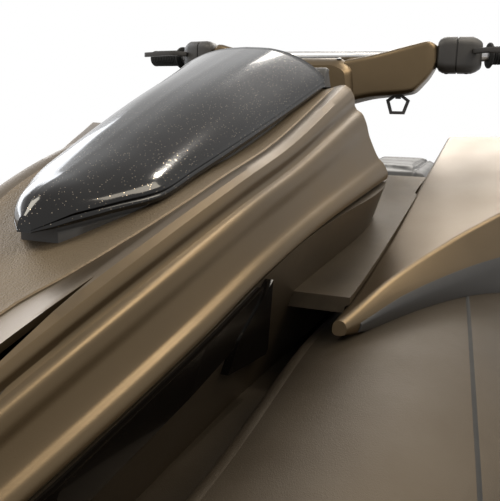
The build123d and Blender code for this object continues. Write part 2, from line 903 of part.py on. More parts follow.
def hood_hinge(deck):
    """The fixed ears and pin of the hood's hinge."""
    ears = []
    for x in (LID_KNUCKLE_X + SEAT_GAP, -LID_KNUCKLE_X - SEAT_GAP - LID_EAR):
        ear = across(x, x + LID_EAR, LID_HINGE_Y, LID_HINGE_Z, LID_KNUCKLE_R)
        front, rear = LID_HINGE_Y - LID_KNUCKLE_R, LID_HINGE_Y + LID_KNUCKLE_R
        foot = block(x, x + LID_EAR, front, rear, LID_EAR_FOOT_Z, LID_HINGE_Z)
        ears.append(ear + foot)
    pin = across(-LID_KNUCKLE_X - LID_EAR, LID_KNUCKLE_X + LID_EAR, LID_HINGE_Y, LID_HINGE_Z, LID_PIN_R)
    return (ears[0] + ears[1] + pin) - deck


def outline_face(points, z):
    """A mirrored plan outline as a face at z; points run from nose to rear."""
    port = [Vector(half, y, z) for y, half in points]
    starboard = [Vector(-half, y, z) for y, half in reversed(points)]
    return Face(Wire.make_polygon(port + starboard, close=True))


def cowl_ring(row):
    """One arched cross section of the cowl with its upright lip."""
    y, half, lip, crest = row
    top = lip + COWL_LIP
    arch = [(half * a, top + (crest - top) * b) for a, b in COWL_ARCH]
    return half_ring(y, [(half - COWL_CHAMFER, lip), *arch, (0, crest)])


def cowl():
    """The gloss cowl, an arched dome over its plinth."""
    return skin([cowl_ring(row) for row in COWL_STATIONS], ruled=True)


def plinth(lid):
    """The matt base between hood and cowl, drawn in from the cowl's lip."""
    rings = []
    for y, half, lip, crest in COWL_STATIONS[1:]:
        wide = max(half - PLINTH_INSET, PLINTH_NOSE)
        rings.append(half_ring(y, [(wide, lip - 2 * LID_DISH), (wide, lip)]))
    lift = 2 * SEAT_GAP + PANEL_THICK
    return solids_of(skin(rings, ruled=True) - (Pos(0, 0, lift) * lid))[0]


def side_band(rows, thick):
    """A straight-edged band on the prow's side; rows hold y, low z, top z."""
    rings = []
    for y, low, top in rows:
        a, b = prow_side_x(y, low), prow_side_x(y, top)
        foot = [(a - TRIM_SUNK, low), (a + thick, low)]
        rings.append(ring(y, [*foot, (b + thick, top), (b - TRIM_SUNK, top)]))
    return skin(rings, ruled=True)


def flank_trim(deck):
    """The gloss strip along the prow under the hood, with its wedge."""
    rows = []
    for y in TRIM_STATIONS:
        top = between(y, LID_STATIONS, 2) - SHUT_GAP - TRIM_SHADOW
        rows.append((y, top - TRIM_TALL, top))
    top = between(ACCENT_TIP_Y, LID_STATIONS, 2) - SHUT_GAP - TRIM_SHADOW
    low = top - ACCENT_TALL
    wedge = (
        (ACCENT_FRONT_Y, low + ACCENT_RISE, low + ACCENT_SHARE * ACCENT_TALL),
        (ACCENT_TIP_Y, low + ACCENT_RISE / 2, top),
        (ACCENT_REAR_Y, low, low + TRIM_THICK),
    )
    return solids_of((side_band(rows, TRIM_THICK) + side_band(wedge, ACCENT_THICK)) - deck)[0]


def pod_blank():
    """The port mirror pod's outer form."""
    rings = []
    for row in POD_STATIONS:
        y, pts = row[0], row[1:]
        points = [(pts[i], pts[i + 1]) for i in range(0, len(pts), 2)]
        rings.append(ring(y, points))
    return skin(rings)


def pod_rear_points(inset):
    """The pod's rear outline drawn in by inset."""
    row = POD_STATIONS[-1]
    pts = [(row[i], row[i + 1]) for i in range(1, len(row), 2)]
    cx = sum(p[0] for p in pts) / len(pts)
    cz = sum(p[1] for p in pts) / len(pts)
    out = []
    for x, z in pts:
        way = Vector(cx - x, 0, cz - z)
        step = way.normalized() * inset * MIRROR_SLANT
        out.append((x + step.X, z + step.Z))
    return out


def pod(deck):
    """The mirror pod with its recessed rear face, seated on the deck."""
    rear = POD_STATIONS[-1][0]
    outline = Face(ring(rear, pod_rear_points(MIRROR_MARGIN)))
    recess = extrude(outline, MIRROR_INSET + MIRROR_THICK, dir=(0, -1, 0))
    return pod_blank() - deck - recess - insert_blank()


def insert_blank():
    """The dark insert's form, which is let into the pod's outer face."""
    rings = []
    for y, x, top, low in INSERT_STATIONS:
        inner, outer = x - INSERT_REACH, x + INSERT_REACH
        rings.append(ring(y, [(inner, low), (outer, low), (outer, top), (inner, top)]))
    shell = pod_blank() - (Pos(-2 * INSERT_THICK, 0, 0) * pod_blank())
    return solids_of(skin(rings) & shell)[0]


def mirror_glass():
    """The mirror plate inside the pod's rear recess."""
    rear = POD_STATIONS[-1][0] - MIRROR_INSET
    outline = Face(ring(rear, pod_rear_points(MIRROR_MARGIN + SEAT_GAP)))
    return extrude(outline, MIRROR_THICK, dir=(0, -1, 0))


def mirror_arm(deck, console, pod_solid):
    """The plate from the prow and console out to the pod's inner edge."""
    rings = []
    for y, top in ARM_STATIONS:
        outer = between(y, POD_STATIONS, 1) + ARM_LAP
        low = top - ARM_THICK
        rings.append(ring(y, [(ARM_ROOT_X, low), (outer, low), (outer, top), (ARM_ROOT_X, top)]))
    plate = skin(rings) - deck - console - pod_solid
    return solids_of(plate)[0]


def console_blank():
    """The console's outer form."""
    rings = []
    for y, foot_x, foot_z, shoulder_x, shoulder_z, top_z in CONSOLE_STATIONS:
        points = [
            (foot_x, foot_z),
            (shoulder_x, shoulder_z),
            (shoulder_x - CONSOLE_ROUND, top_z),
        ]
        rings.append(half_ring(y, points))
    return skin(rings)


def glove_top_z(y):
    """Height of the console's top at y."""
    return between(y, CONSOLE_STATIONS, 5)


def glove_face(y_grow):
    """Corners of the glovebox lid along the console's top, seen from the side."""
    y0, y1 = GLOVE_FRONT_Y - y_grow, GLOVE_REAR_Y + y_grow
    return (y0, glove_top_z(y0)), (y1, glove_top_z(y1))


def side_prism(points, half_x):
    """A prism across the boat from (y, z) points."""
    face = Face(Wire.make_polygon([Vector(0, y, z) for y, z in points], close=True))
    return extrude(face, half_x, dir=(1, 0, 0), both=True)


def glove_box():
    """The glovebox hollow below its lid."""
    (y0, z0), (y1, z1) = glove_face(0)
    high = GLOVE_LID_THICK + CUT_OVER
    outline = [(y0, z0 + high), (y1, z1 + high), (y1, z1 - GLOVE_DEEP), (y0, z0 - GLOVE_DEEP)]
    return side_prism(outline, GLOVE_HALF_X)


def glove_lid():
    """The glovebox lid on top of the console, hinged on its front barrel."""
    low, high = -GLOVE_LID_THICK, SEAT_GAP + GLOVE_LID_THICK
    raised = Pos(0, 0, SEAT_GAP) * console_blank()
    (y0, z0), (y1, z1) = glove_face(GLOVE_LID_LIP)
    outline = [(y0, z0 + low), (y1, z1 + low), (y1, z1 + high), (y0, z0 + high)]
    cover = side_prism(outline, GLOVE_HALF_X + GLOVE_LID_LIP)
    (y2, z2), (y3, z3) = glove_face(-SHUT_GAP)
    inner = [(y2, z2 + low), (y3, z3 + low), (y3, z3 + high), (y2, z2 + high)]
    plug = side_prism(inner, GLOVE_HALF_X - SHUT_GAP)
    barrel = across(-GLOVE_HALF_X, GLOVE_HALF_X, y0, z0 + high, GLOVE_BARREL_R)
    return (cover - raised) + plug + (barrel - raised)


def steer_axis():
    """Unit vector along the steering axis, leaning back going up."""
    return Vector(0, sin(radians(STEER_LEAN)), cos(radians(STEER_LEAN)))


def steer_point(up):
    """A point on the steering axis, measured up from its foot."""
    return Vector(0, STEER_Y, STEER_Z) + steer_axis() * up


def turned(up, tall, radius, top_radius=None):
    """A round or tapered boss on the steering axis."""
    low = Plane(steer_point(up), z_dir=steer_axis())
    high = Plane(steer_point(up + tall), z_dir=steer_axis())
    rounds = (low * Circle(radius), high * Circle(top_radius or radius))
    return skin([flat.faces()[0].outer_wire() for flat in rounds], ruled=True)


def neck(console):
    """The fixed steering neck on the console."""
    boss = turned(-NECK_SUNK, NECK_SUNK + NECK_TALL, NECK_FOOT_R, NECK_R)
    bore = turned(0, NECK_TALL + CUT_OVER, STEM_R + SEAT_GAP)
    return boss - bore - console


def stem():
    """The turning stem in the neck."""
    shaft = turned(SEAT_GAP, STEM_TALL, STEM_R)
    collar = turned(NECK_TALL + SEAT_GAP, COLLAR_TALL, COLLAR_R)
    return shaft + collar


def cover_centre():
    """The pad in the middle of the handlebar."""
    rings = []
    low = COVER_LOW_Z
    for y, half, high in COVER_PAD:
        foot = [(half * COVER_FOOT_SHARE, low), (half, low + COVER_WAIST)]
        brow = [(half * COVER_BROW_SHARE, high - COVER_BROW), (half * COVER_TOP_SHARE, high)]
        rings.append(half_ring(y, foot + brow))
    return skin(rings, ruled=True)


def cover_arm():
    """The port arm of the handlebar cover."""
    wires = []
    for x, front, rear, low, top in COVER_ARM:
        taper = COVER_ARM_TAPER
        pts = [(front, low), (rear, low), (rear - taper, top), (front + taper, top)]
        wires.append(Wire.make_polygon([Vector(x, y, z) for y, z in pts], close=True))
    return skin(wires, ruled=True)


def bar_end(x):
    """Centre of the handlebar tube at x beyond the elbow."""
    share = (x - BAR_ELBOW_X) / (BAR_END_X - BAR_ELBOW_X)
    return (x, BAR_Y + share * BAR_SWEEP, BAR_Z + share * BAR_RISE)


def handlebar_tube():
    """The handlebar tube, straight in the cover and swept back at the grips."""
    points = [
        (-BAR_END_X, BAR_Y + BAR_SWEEP, BAR_Z + BAR_RISE),
        (-BAR_ELBOW_X, BAR_Y, BAR_Z),
        (BAR_ELBOW_X, BAR_Y, BAR_Z),
        (BAR_END_X, BAR_Y + BAR_SWEEP, BAR_Z + BAR_RISE),
    ]
    return tube_path(points, BAR_BEND, BAR_R)


def housing():
    """The port switch housing: two shells parted round the tube."""
    wires = []
    for run, grow in HOUSING_RINGS:
        x = HOUSING_IN_X + run
        cy, cz = bar_end(x)[1:]
        half_y, half_z = HOUSING_DEEP / 2 + grow, HOUSING_TALL / 2 + grow
        flat, side = half_y * HOUSING_FLAT_SHARE, half_z * HOUSING_SIDE_SHARE
        lower = [(-half_y, -side), (-flat, -half_z), (flat, -half_z), (half_y, -side)]
        points = lower + [(py, -pz) for py, pz in reversed(lower)]
        wires.append(Wire.make_polygon([Vector(x, cy + py, cz + pz) for py, pz in points], close=True))
    return skin(wires, ruled=True) - handlebar_tube()


def grip():
    """The port grip with its inner flange."""
    start, end = bar_end(GRIP_IN_X), bar_end(BAR_END_X + GRIP_OVER)
    flange_end = bar_end(GRIP_IN_X + GRIP_FLANGE)
    body = rod(start, end, GRIP_R) + rod(start, flange_end, GRIP_FLANGE_R)
    return body - handlebar_tube()


def lever():
    """The port lever ahead of the grip, on its bracket at the housing."""
    x, y, z = bar_end(LEVER_ROOT_X)
    outline = [Vector(x + dx, y + dy, z) for dx, dy in LEVER_OUTLINE]
    face = Face(Wire.make_polygon(outline, close=True))
    return extrude(face, LEVER_THICK, dir=(0, 0, 1)) - housing()


def tilt_loop(cover):
    """The small five-sided loop under the port arm."""
    plane = Plane(origin=(LOOP_X, BAR_Y - LOOP_WIRE / 2, LOOP_Z), x_dir=(1, 0, 0), z_dir=(0, -1, 0))
    outer = plane * RegularPolygon(LOOP_R, LOOP_SIDES, rotation=LOOP_TURN)
    inner = plane * RegularPolygon(LOOP_R - LOOP_WIRE, LOOP_SIDES, rotation=LOOP_TURN)
    ring_solid = extrude(outer - inner, LOOP_WIRE)
    hang_y = BAR_Y - LOOP_WIRE / 2
    low_z, high_z = LOOP_Z + LOOP_R - 2 * LOOP_WIRE, BAR_Z - BAR_R
    half = LOOP_HANGER / 2
    hanger = block(LOOP_X - half, LOOP_X + half, hang_y - LOOP_WIRE, hang_y, low_z, high_z)
    return solids_of((ring_solid + hanger) - cover)[0]


def seat(stations):
    """A seat cushion with its skirt, seated on the pedestal's rim."""
    low = PEDESTAL_TOP_Z + SEAT_GAP
    rings = []
    for y, half_low, half_top, top in stations:
        waist = low + SEAT_SKIRT
        left = [
            (half_low - SEAT_TUCK, low),
            (half_low, waist),
            (half_low + SEAT_BELLY, waist + SEAT_BELLY_UP),
            (half_top + SEAT_SHOULDER, top - SEAT_SHOULDER_DOWN),
            (half_top - SEAT_EDGE, top - SEAT_EDGE_DOWN),
            (half_top * SEAT_CROWN_SHARE, top),
        ]
        rings.append(half_ring(y, left))
    return skin(rings)


def grab_handle(deck):
    """The grab loop behind the rear seat."""
    top_y = GRAB_Y + GRAB_LEAN
    points = [
        (-GRAB_HALF_X, GRAB_Y, GRAB_FOOT_Z),
        (-GRAB_HALF_X, top_y, GRAB_TOP_Z),
        (GRAB_HALF_X, top_y, GRAB_TOP_Z),
        (GRAB_HALF_X, GRAB_Y, GRAB_FOOT_Z),
    ]
    return solids_of(tube_path(points, GRAB_BEND, GRAB_R) - deck)[0]


def footwell_mat():
    """The port traction mat on the footwell's floor."""
    m = MAT_MARGIN
    return rounded_block(
        WELL_INNER_X + m, WELL_OUTER_X - m, WELL_FRONT_Y + m, WELL_REAR_Y - m,
        WELL_FLOOR_Z, WELL_FLOOR_Z + MAT_THICK, WELL_CORNER - m,
    )


def platform_mat(body):
    """The traction mat laid on the stern platform."""
    half = PLATFORM_MAT_HALF
    ends = (PLATFORM_MAT_FRONT, PLATFORM_MAT_REAR)
    outline = rounded_block(-half, half, *ends, 0, HIGH_Z, PLATFORM_MAT_CORNER)
    raised = Pos(0, 0, MAT_THICK) * body
    return solids_of((outline & raised) - body)[0]


def boarding_step():
    """The folding step frame, stowed upright behind the transom."""
    x, top = STEP_HALF_X, STEP_Z + STEP_TALL
    points = [(-x, STEP_Y, STEP_Z), (-x, STEP_Y, top), (x, STEP_Y, top), (x, STEP_Y, STEP_Z)]
    frame = tube_path(points, STEP_BEND, STEP_R)
    half, rise = x - TREAD_IN, top + STEP_R + TREAD_OVER
    front, rear = STEP_Y - STEP_R, STEP_Y + STEP_R
    whole = frame + rounded_block(-half, half, front, rear, top - TREAD_DEEP, rise, TREAD_CORNER)
    for s in (1, -1):
        inner, outer = s * x - STEP_EYE_HALF, s * x + STEP_EYE_HALF
        whole += across(inner, outer, STEP_Y, STEP_Z, STEP_R + STEP_EYE_WALL)
        bore = across(inner - STEP_R, outer + STEP_R, STEP_Y, STEP_Z, STEP_PIN_R + SEAT_GAP)
        whole -= bore
    return whole


def step_bracket():
    """The port bracket and pin of the boarding step on the transom."""
    reach = STEP_EYE_HALF + SEAT_GAP
    span = reach + BRACKET_PLATE
    tall = BRACKET_TALL / 2
    body = across(STEP_HALF_X - span, STEP_HALF_X + span, STEP_Y, STEP_Z, STEP_PIN_R)
    for x in (STEP_HALF_X - span, STEP_HALF_X + reach):
        body += block(x, x + BRACKET_PLATE, TRANSOM_Y, STEP_Y + BRACKET_OVER, STEP_Z - tall, STEP_Z + tall)
    wide, deep = BRACKET_FOOT_WIDE / 2, BRACKET_FOOT_TALL / 2
    ends = (TRANSOM_Y, TRANSOM_Y + BRACKET_FOOT_THICK)
    return body + block(STEP_HALF_X - wide, STEP_HALF_X + wide, *ends, STEP_Z - deep, STEP_Z + deep)


def bow_eye(hull):
    """The U eye on the bow's stem."""
    r, in_y, out_y = EYE_R, BOW_EYE_IN_Y, BOW_EYE_OUT_Y
    low, high = BOW_EYE_Z - r, BOW_EYE_Z + r
    points = [(0, in_y, low), (0, out_y, low), (0, out_y, high), (0, in_y, high)]
    return solids_of(tube_path(points, EYE_BEND, EYE_WIRE) - hull)[0]


def tow_eye(deck):
    """The U eye standing on the stern platform."""
    r, y = EYE_R, TOW_EYE_Y
    points = [(-r, y, TOW_EYE_LOW_Z), (-r, y, TOW_EYE_TOP_Z), (r, y, TOW_EYE_TOP_Z), (r, y, TOW_EYE_LOW_Z)]
    return solids_of(tube_path(points, EYE_BEND, EYE_WIRE) - deck)[0]


def cleat(body):
    """The port cleat on the stern deck."""
    x, y = CLEAT_X, CLEAT_Y
    z = between(y, BODY_STATIONS, 8) + CLEAT_STAND
    body_bar = rod((x, y - CLEAT_LONG / 2, z), (x, y + CLEAT_LONG / 2, z), CLEAT_BAR_R)
    for s in (1, -1):
        leg_y = y + s * CLEAT_LEG_APART / 2
        body_bar += rod((x, leg_y, z - CLEAT_LEG_LONG), (x, leg_y, z), CLEAT_LEG_R)
    return solids_of(body_bar - body)[0]


def sponson(body):
    """The port sponson along the rear chine."""
    rows = []
    for run, proud in SPONSON_RINGS:
        y = SPONSON_FRONT_Y + run
        x = between(y, BODY_STATIONS, 2) + CHINE_FLAT
        z = between(y, BODY_STATIONS, 3) + CHINE_RISE
        low, high, back = z - SPONSON_UNDER, z + SPONSON_DEEP, x - SPONSON_SUNK
        out = x + proud
        rows.append(ring(y, [(back, low), (out, low), (out + SPONSON_FLARE, high), (back, high)]))
    return solids_of(skin(rows, ruled=True) - body)[0]


def revolved(profile):
    """A ring turned round the pump's axis from (radius, y) points."""
    face = Face(Wire.make_polygon([Vector(r, y, PUMP_Z) for r, y in profile], close=True))
    return revolve(face, Axis((0, 0, PUMP_Z), (0, 1, 0)), 360)


def pump_round(y, long, radius):
    """A round bar on the pump's axis, centred at y."""
    return rod((0, y - long / 2, PUMP_Z), (0, y + long / 2, PUMP_Z), radius)


def duct():
    """The pump's round duct with its flange and outlet cone."""
    bore, out = PUMP_BORE / 2, PUMP_BORE / 2 + PUMP_WALL
    front, flange_y = TUNNEL_FRONT_Y, TUNNEL_FRONT_Y + PUMP_FLANGE
    spout = OUTLET_R + OUTLET_WALL
    profile = [
        (bore, front),
        (PUMP_FLANGE_R, front),
        (PUMP_FLANGE_R, flange_y),
        (out, flange_y),
        (out, CONE_START_Y),
        (spout, OUTLET_CONE_Y),
        (spout, OUTLET_Y),
        (OUTLET_R, OUTLET_Y),
        (OUTLET_R, OUTLET_CONE_Y),
        (bore, CONE_START_Y),
    ]
    return revolved(profile)


def nozzle_mount(s):
    """The ear, post and pin above or below the nozzle."""
    z0 = PUMP_Z + s * (NOZZLE_MOUTH_R + NOZZLE_WALL + SEAT_GAP)
    z1 = z0 + s * EAR_THICK
    low, high = min(z0, z1), max(z0, z1)
    half = EAR_WIDE / 2
    ear = block(-half, half, EAR_FRONT_Y, NOZZLE_PIVOT_Y + EAR_OVER, low, high)
    duct_z = PUMP_Z + s * (PUMP_BORE / 2 + PUMP_WALL - POST_SUNK)
    post = block(-half, half, POST_FRONT_Y, POST_REAR_Y, min(duct_z, z1), max(duct_z, z1))
    pin_z = PUMP_Z + s * (NOZZLE_MOUTH_R + NOZZLE_PIN_IN)
    return ear + post + rod((0, NOZZLE_PIVOT_Y, pin_z), (0, NOZZLE_PIVOT_Y, z1), NOZZLE_PIN_R)


def bucket_mount(s):
    """The boss and pin that carry the reverse bucket on one side of the duct."""
    out = PUMP_BORE / 2 + PUMP_WALL
    pin = across(s * (out - BUCKET_PIN_SUNK), s * BUCKET_PIN_OUT_X, BUCKET_Y, PUMP_Z, BUCKET_PIN_R)
    boss = across(s * (out - BUCKET_BOSS_SUNK), s * BUCKET_BOSS_OUT_X, BUCKET_Y, PUMP_Z, BUCKET_BOSS_R)
    return pin + boss


def pump_housing(hull):
    """The pump's duct with stator vanes, nozzle ears and bucket bosses."""
    bore = PUMP_BORE / 2
    body = duct() + pump_round(VANE_Y, VANE_HUB_LONG, HUB_R)
    for i in range(VANE_COUNT):
        long = bore - HUB_R + VANE_LAP
        vane = Pos((HUB_R + bore) / 2, 0, 0) * Box(long, VANE_LONG, VANE_THICK)
        body += Pos(0, VANE_Y, PUMP_Z) * Rot(0, 360 / VANE_COUNT * i, 0) * vane
    for s in (1, -1):
        body += nozzle_mount(s)
    clear = pump_round(VANE_Y, 2 * PUMP_LONG, bore)
    for s in (1, -1):
        body += bucket_mount(s) - clear
    return body - hull


def impeller():
    """The impeller with its hub, twisted blades and drive shaft."""
    tip = PUMP_BORE / 2 - BLADE_TIP_GAP
    body = pump_round(IMPELLER_Y, IMPELLER_HUB_LONG, HUB_R)
    for i in range(BLADE_COUNT):
        blank = Box(tip - HUB_R + BLADE_LAP, BLADE_LONG, BLADE_THICK)
        blade = Pos((HUB_R + tip) / 2 - BLADE_IN, 0, 0) * Rot(BLADE_TWIST, 0, 0) * blank
        body += Pos(0, IMPELLER_Y, PUMP_Z) * Rot(0, 360 / BLADE_COUNT * i, 0) * blade
    rim = pump_round(IMPELLER_Y, 2 * BLADE_LONG, tip)
    shaft = rod((0, SHAFT_FRONT_Y, PUMP_Z), (0, IMPELLER_Y, PUMP_Z), SHAFT_R)
    return (body & rim) + shaft


def nozzle():
    """The steering nozzle, a tapered spout on two upright pins."""
    y, mouth, tip = NOZZLE_PIVOT_Y, NOZZLE_MOUTH_R, NOZZLE_TIP_R
    front, neck_y, end = y - NOZZLE_FRONT, y + NOZZLE_NECK, y + NOZZLE_LONG
    profile = [
        (mouth, front),
        (mouth + NOZZLE_WALL, front),
        (mouth + NOZZLE_WALL, neck_y),
        (tip + NOZZLE_WALL, end),
        (tip, end),
        (mouth, neck_y),
    ]
    reach = mouth + 2 * NOZZLE_WALL
    bore = rod((0, y, PUMP_Z - reach), (0, y, PUMP_Z + reach), NOZZLE_PIN_R + SEAT_GAP)
    low, high = PUMP_Z - NOZZLE_ARM_THICK / 2, PUMP_Z + NOZZLE_ARM_THICK / 2
    start = y + NOZZLE_ARM_Y
    arm = block(mouth, mouth + NOZZLE_ARM_LONG, start, start + NOZZLE_ARM_WIDE, low, high)
    return (revolved(profile) + arm) - bore


def side_arc(radius, start, end):
    """An arc seen from the side, by angles in degrees."""
    turns = (start, (start + end) / 2, end)
    return Edge.make_three_point_arc(*[Vector(*polar(radius, turn)) for turn in turns])


def side_line(start, end):
    """A straight edge between two flat points."""
    return Edge.make_line(Vector(*start), Vector(*end))


def bucket():
    """The reverse bucket, a curved scoop on two arms, stowed above the nozzle."""
    inner, outer = BUCKET_IN_R, BUCKET_IN_R + BUCKET_WALL
    low, high = BUCKET_REST, BUCKET_REST + BUCKET_ARC
    plane = Plane(origin=(0, BUCKET_Y, PUMP_Z), x_dir=(0, 1, 0), z_dir=(1, 0, 0))
    scoop_edges = [
        side_line(polar(inner, low), polar(outer, low)),
        side_arc(outer, low, high),
        side_line(polar(outer, high), polar(inner, high)),
        side_arc(inner, high, low),
    ]
    body = extrude(plane * Face(Wire(scoop_edges)), BUCKET_HALF_X, dir=(1, 0, 0), both=True)
    low, high = low + CHEEK_TRIM, high - CHEEK_TRIM
    middle = (low + high) / 2
    root_low = polar(CHEEK_ROOT_R, middle - CHEEK_SPREAD)
    root_high = polar(CHEEK_ROOT_R, middle + CHEEK_SPREAD)
    cheek_edges = [
        side_line(root_low, polar(outer, low)),
        side_arc(outer, low, high),
        side_line(polar(outer, high), root_high),
        side_line(root_high, root_low),
    ]
    cheek_face = plane * Face(Wire(cheek_edges))
    end_x = BUCKET_HALF_X + BUCKET_WALL
    for s in (1, -1):
        body += Pos(s * BUCKET_HALF_X, 0, 0) * extrude(cheek_face, BUCKET_WALL, dir=(s, 0, 0))
        body += across(s * BUCKET_HALF_X, s * end_x, BUCKET_Y, PUMP_Z, CHEEK_HUB_R)
        ends = (s * (BUCKET_HALF_X - BUCKET_WALL), s * (end_x + BUCKET_WALL))
        body -= across(*ends, BUCKET_Y, PUMP_Z, BUCKET_PIN_R + SEAT_GAP)
    return body


def polar(radius, angle):
    """A flat point at an angle in degrees."""
    return radius * cos(radians(angle)), radius * sin(radians(angle)), 0


def ride_plate():
    """The flat plate that closes the tunnel below the pump."""
    half = TUNNEL_HALF_X - SEAT_GAP
    low, high = RIDE_PLATE_Z, RIDE_PLATE_Z + RIDE_PLATE_THICK
    start, end = TUNNEL_FRONT_Y + SEAT_GAP, RIDE_PLATE_END_Y
    plate = rounded_block(-half, half, start, end, low, high, RIDE_PLATE_CORNER)
    for x in RIB_X:
        rib_ends = (TUNNEL_FRONT_Y + RIB_IN, RIDE_PLATE_END_Y - RIB_IN)
        plate += block(x - RIB_THICK / 2, x + RIB_THICK / 2, *rib_ends, low - RIB_DEEP, low)
    return plate


def intake_grate():
    """The bars across the water intake."""
    half = INTAKE_HALF_X - SEAT_GAP
    rise = (GRATE_TOP_Z - KEEL_Z) / (PUMP_Z + INTAKE_HALF_X - KEEL_Z)
    y0 = INTAKE_FRONT_Y + rise * (INTAKE_TOP_Y - INTAKE_FRONT_Y) + SEAT_GAP
    y1 = INTAKE_REAR_Y - SEAT_GAP
    low = GRATE_TOP_Z - GRATE_DEEP
    body = block(-half, half, y0, y0 + GRATE_DEEP, low, GRATE_TOP_Z)
    body += block(-half, half, y1 - GRATE_DEEP, y1, low, GRATE_TOP_Z)
    pitch = (2 * half - GRATE_BAR) / (GRATE_BARS - 1)
    for i in range(GRATE_BARS):
        x = -half + i * pitch
        body += block(x, x + GRATE_BAR, y0, y1, low, GRATE_TOP_Z)
    return body


def engine():
    """The engine as one block on the bay's floor."""
    half, end_y = ENGINE_WIDE / 2, ENGINE_FRONT_Y + ENGINE_LONG
    top = BAY_FLOOR_Z + ENGINE_TALL
    return rounded_block(-half, half, ENGINE_FRONT_Y, end_y, BAY_FLOOR_Z, top, ENGINE_CORNER)


def fuel_cap(deck):
    """The fuel filler cap on the starboard bow shoulder."""
    cap = rod((FUEL_CAP_X, FUEL_CAP_Y, 0), (FUEL_CAP_X, FUEL_CAP_Y, HIGH_Z), FUEL_CAP_R)
    raised = Pos(0, 0, FUEL_CAP_TALL) * deck
    return solids_of((cap & raised) - deck)[0]


def drain_plug():
    """The port drain plug low on the transom."""
    end_y = TRANSOM_Y + DRAIN_PROUD
    return rod((DRAIN_X, TRANSOM_Y, DRAIN_Z), (DRAIN_X, end_y, DRAIN_Z), DRAIN_R)


def storage_bin(body):
    """The open tub under the hood."""
    outer = bin_shape(TUB_WALL, BIN_FLOOR_Z - TUB_WALL) & (prow() + body)
    return outer - bin_shape(0, BIN_FLOOR_Z)


def display():
    """The instrument display tilted to the rider."""
    place = Pos(0, DISPLAY_Y, DISPLAY_Z) * Rot(DISPLAY_TILT, 0, 0)
    plan = RectangleRounded(DISPLAY_WIDE, DISPLAY_TALL, DISPLAY_CORNER)
    return place * extrude(plan, DISPLAY_THICK)


def build():
    """Builds every node and writes it."""
    hull, deck = hull_and_deck()
    body = whole_body()
    lid = lid_blank()
    save("hull", hull)
    foredeck, side_decks, pedestal = deck_mouldings(deck)
    save("foredeck", foredeck)
    save("side_decks", side_decks)
    save("seat_pedestal", pedestal)
    save("rub_rail", rail(body), keep=2)
    save("hood", hood(lid))
    save("hood_panel", hood_panel(lid))
    save("hood_hinge", hood_hinge(deck))
    save("hood_cowl", cowl())
    save("cowl_plinth", plinth(lid))
    save("storage_bin", storage_bin(body))

    screen = display()
    console = console_blank() - deck - glove_box()
    neck_solid = neck(console)
    save("console", console - screen, keep=1)
    save("display", screen)
    save("glovebox_lid", glove_lid(), keep=1)
    save("steering_neck", neck_solid, keep=1)

    save("flank_trims", pair(flank_trim(deck)))
    pod_solid = solids_of(pod(deck))[0]
    insert = solids_of(insert_blank() - deck)[0]
    glass = mirror_glass() - deck
    plate = mirror_arm(deck, console, pod_solid)
    save("mirror_pods", pair(pod_solid))
    save("mirror_inserts", pair(insert))
    save("mirror_glasses", pair(glass))
    save("mirror_arms", pair(plate))

    save("steering_stem", stem())
    cover = cover_centre() + cover_arm() + mirrored(cover_arm()) - stem() - handlebar_tube()
    save("handlebar_cover", cover, keep=1)
    save("handlebar", handlebar_tube())
    save("switch_housings", pair(housing()))
    save("grips", pair(grip()))
    save("levers", pair(solids_of(lever())[0]))
    save("tilt_loop", tilt_loop(cover))

    save("seat_front", seat(SEAT_FRONT_STATIONS))
    save("seat_rear", seat(SEAT_REAR_STATIONS))
    save("grab_handle", grab_handle(deck))
    save("footwell_mats", pair(footwell_mat()))
    save("platform_mat", platform_mat(body))
    save("boarding_step", boarding_step())
    save("step_brackets", pair(step_bracket()))
    port_cleat = cleat(body)
    fittings = [bow_eye(hull), tow_eye(deck), port_cleat, mirrored(port_cleat)]
    save("mooring_fittings", Compound(children=fittings))
    save("sponsons", pair(sponson(body)))
    save("pump_housing", pump_housing(hull))
    save("impeller", impeller())
    save("nozzle", nozzle())
    save("reverse_bucket", bucket())
    save("ride_plate", ride_plate())
    save("intake_grate", intake_grate())
    save("engine_block", engine())
    save("fuel_cap", fuel_cap(deck))
    save("drain_plugs", pair(drain_plug()))


build()
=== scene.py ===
"""Dresses the watercraft's CAD frame: finishes, soft seats, small fittings, studio and camera."""

import json
import logging
import math
from dataclasses import dataclass, field
from enum import Enum
from typing import Sequence

import bmesh
import bpy
from mathutils import Matrix, Vector
from mathutils.bvhtree import BVHTree


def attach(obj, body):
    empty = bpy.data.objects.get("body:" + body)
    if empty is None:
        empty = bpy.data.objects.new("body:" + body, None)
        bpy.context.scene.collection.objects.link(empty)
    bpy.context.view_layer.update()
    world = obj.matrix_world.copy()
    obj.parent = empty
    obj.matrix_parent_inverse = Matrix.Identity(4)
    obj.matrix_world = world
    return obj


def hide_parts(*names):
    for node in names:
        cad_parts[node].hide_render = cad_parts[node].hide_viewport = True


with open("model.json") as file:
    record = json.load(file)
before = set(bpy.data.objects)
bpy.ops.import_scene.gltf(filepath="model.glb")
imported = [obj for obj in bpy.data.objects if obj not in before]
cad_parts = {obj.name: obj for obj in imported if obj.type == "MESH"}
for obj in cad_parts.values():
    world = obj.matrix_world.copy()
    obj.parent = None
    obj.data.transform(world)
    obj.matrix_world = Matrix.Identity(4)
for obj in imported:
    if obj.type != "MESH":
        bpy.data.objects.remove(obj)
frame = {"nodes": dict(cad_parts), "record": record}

logging.basicConfig(level=logging.INFO, format="%(message)s")
log = logging.getLogger("watercraft")

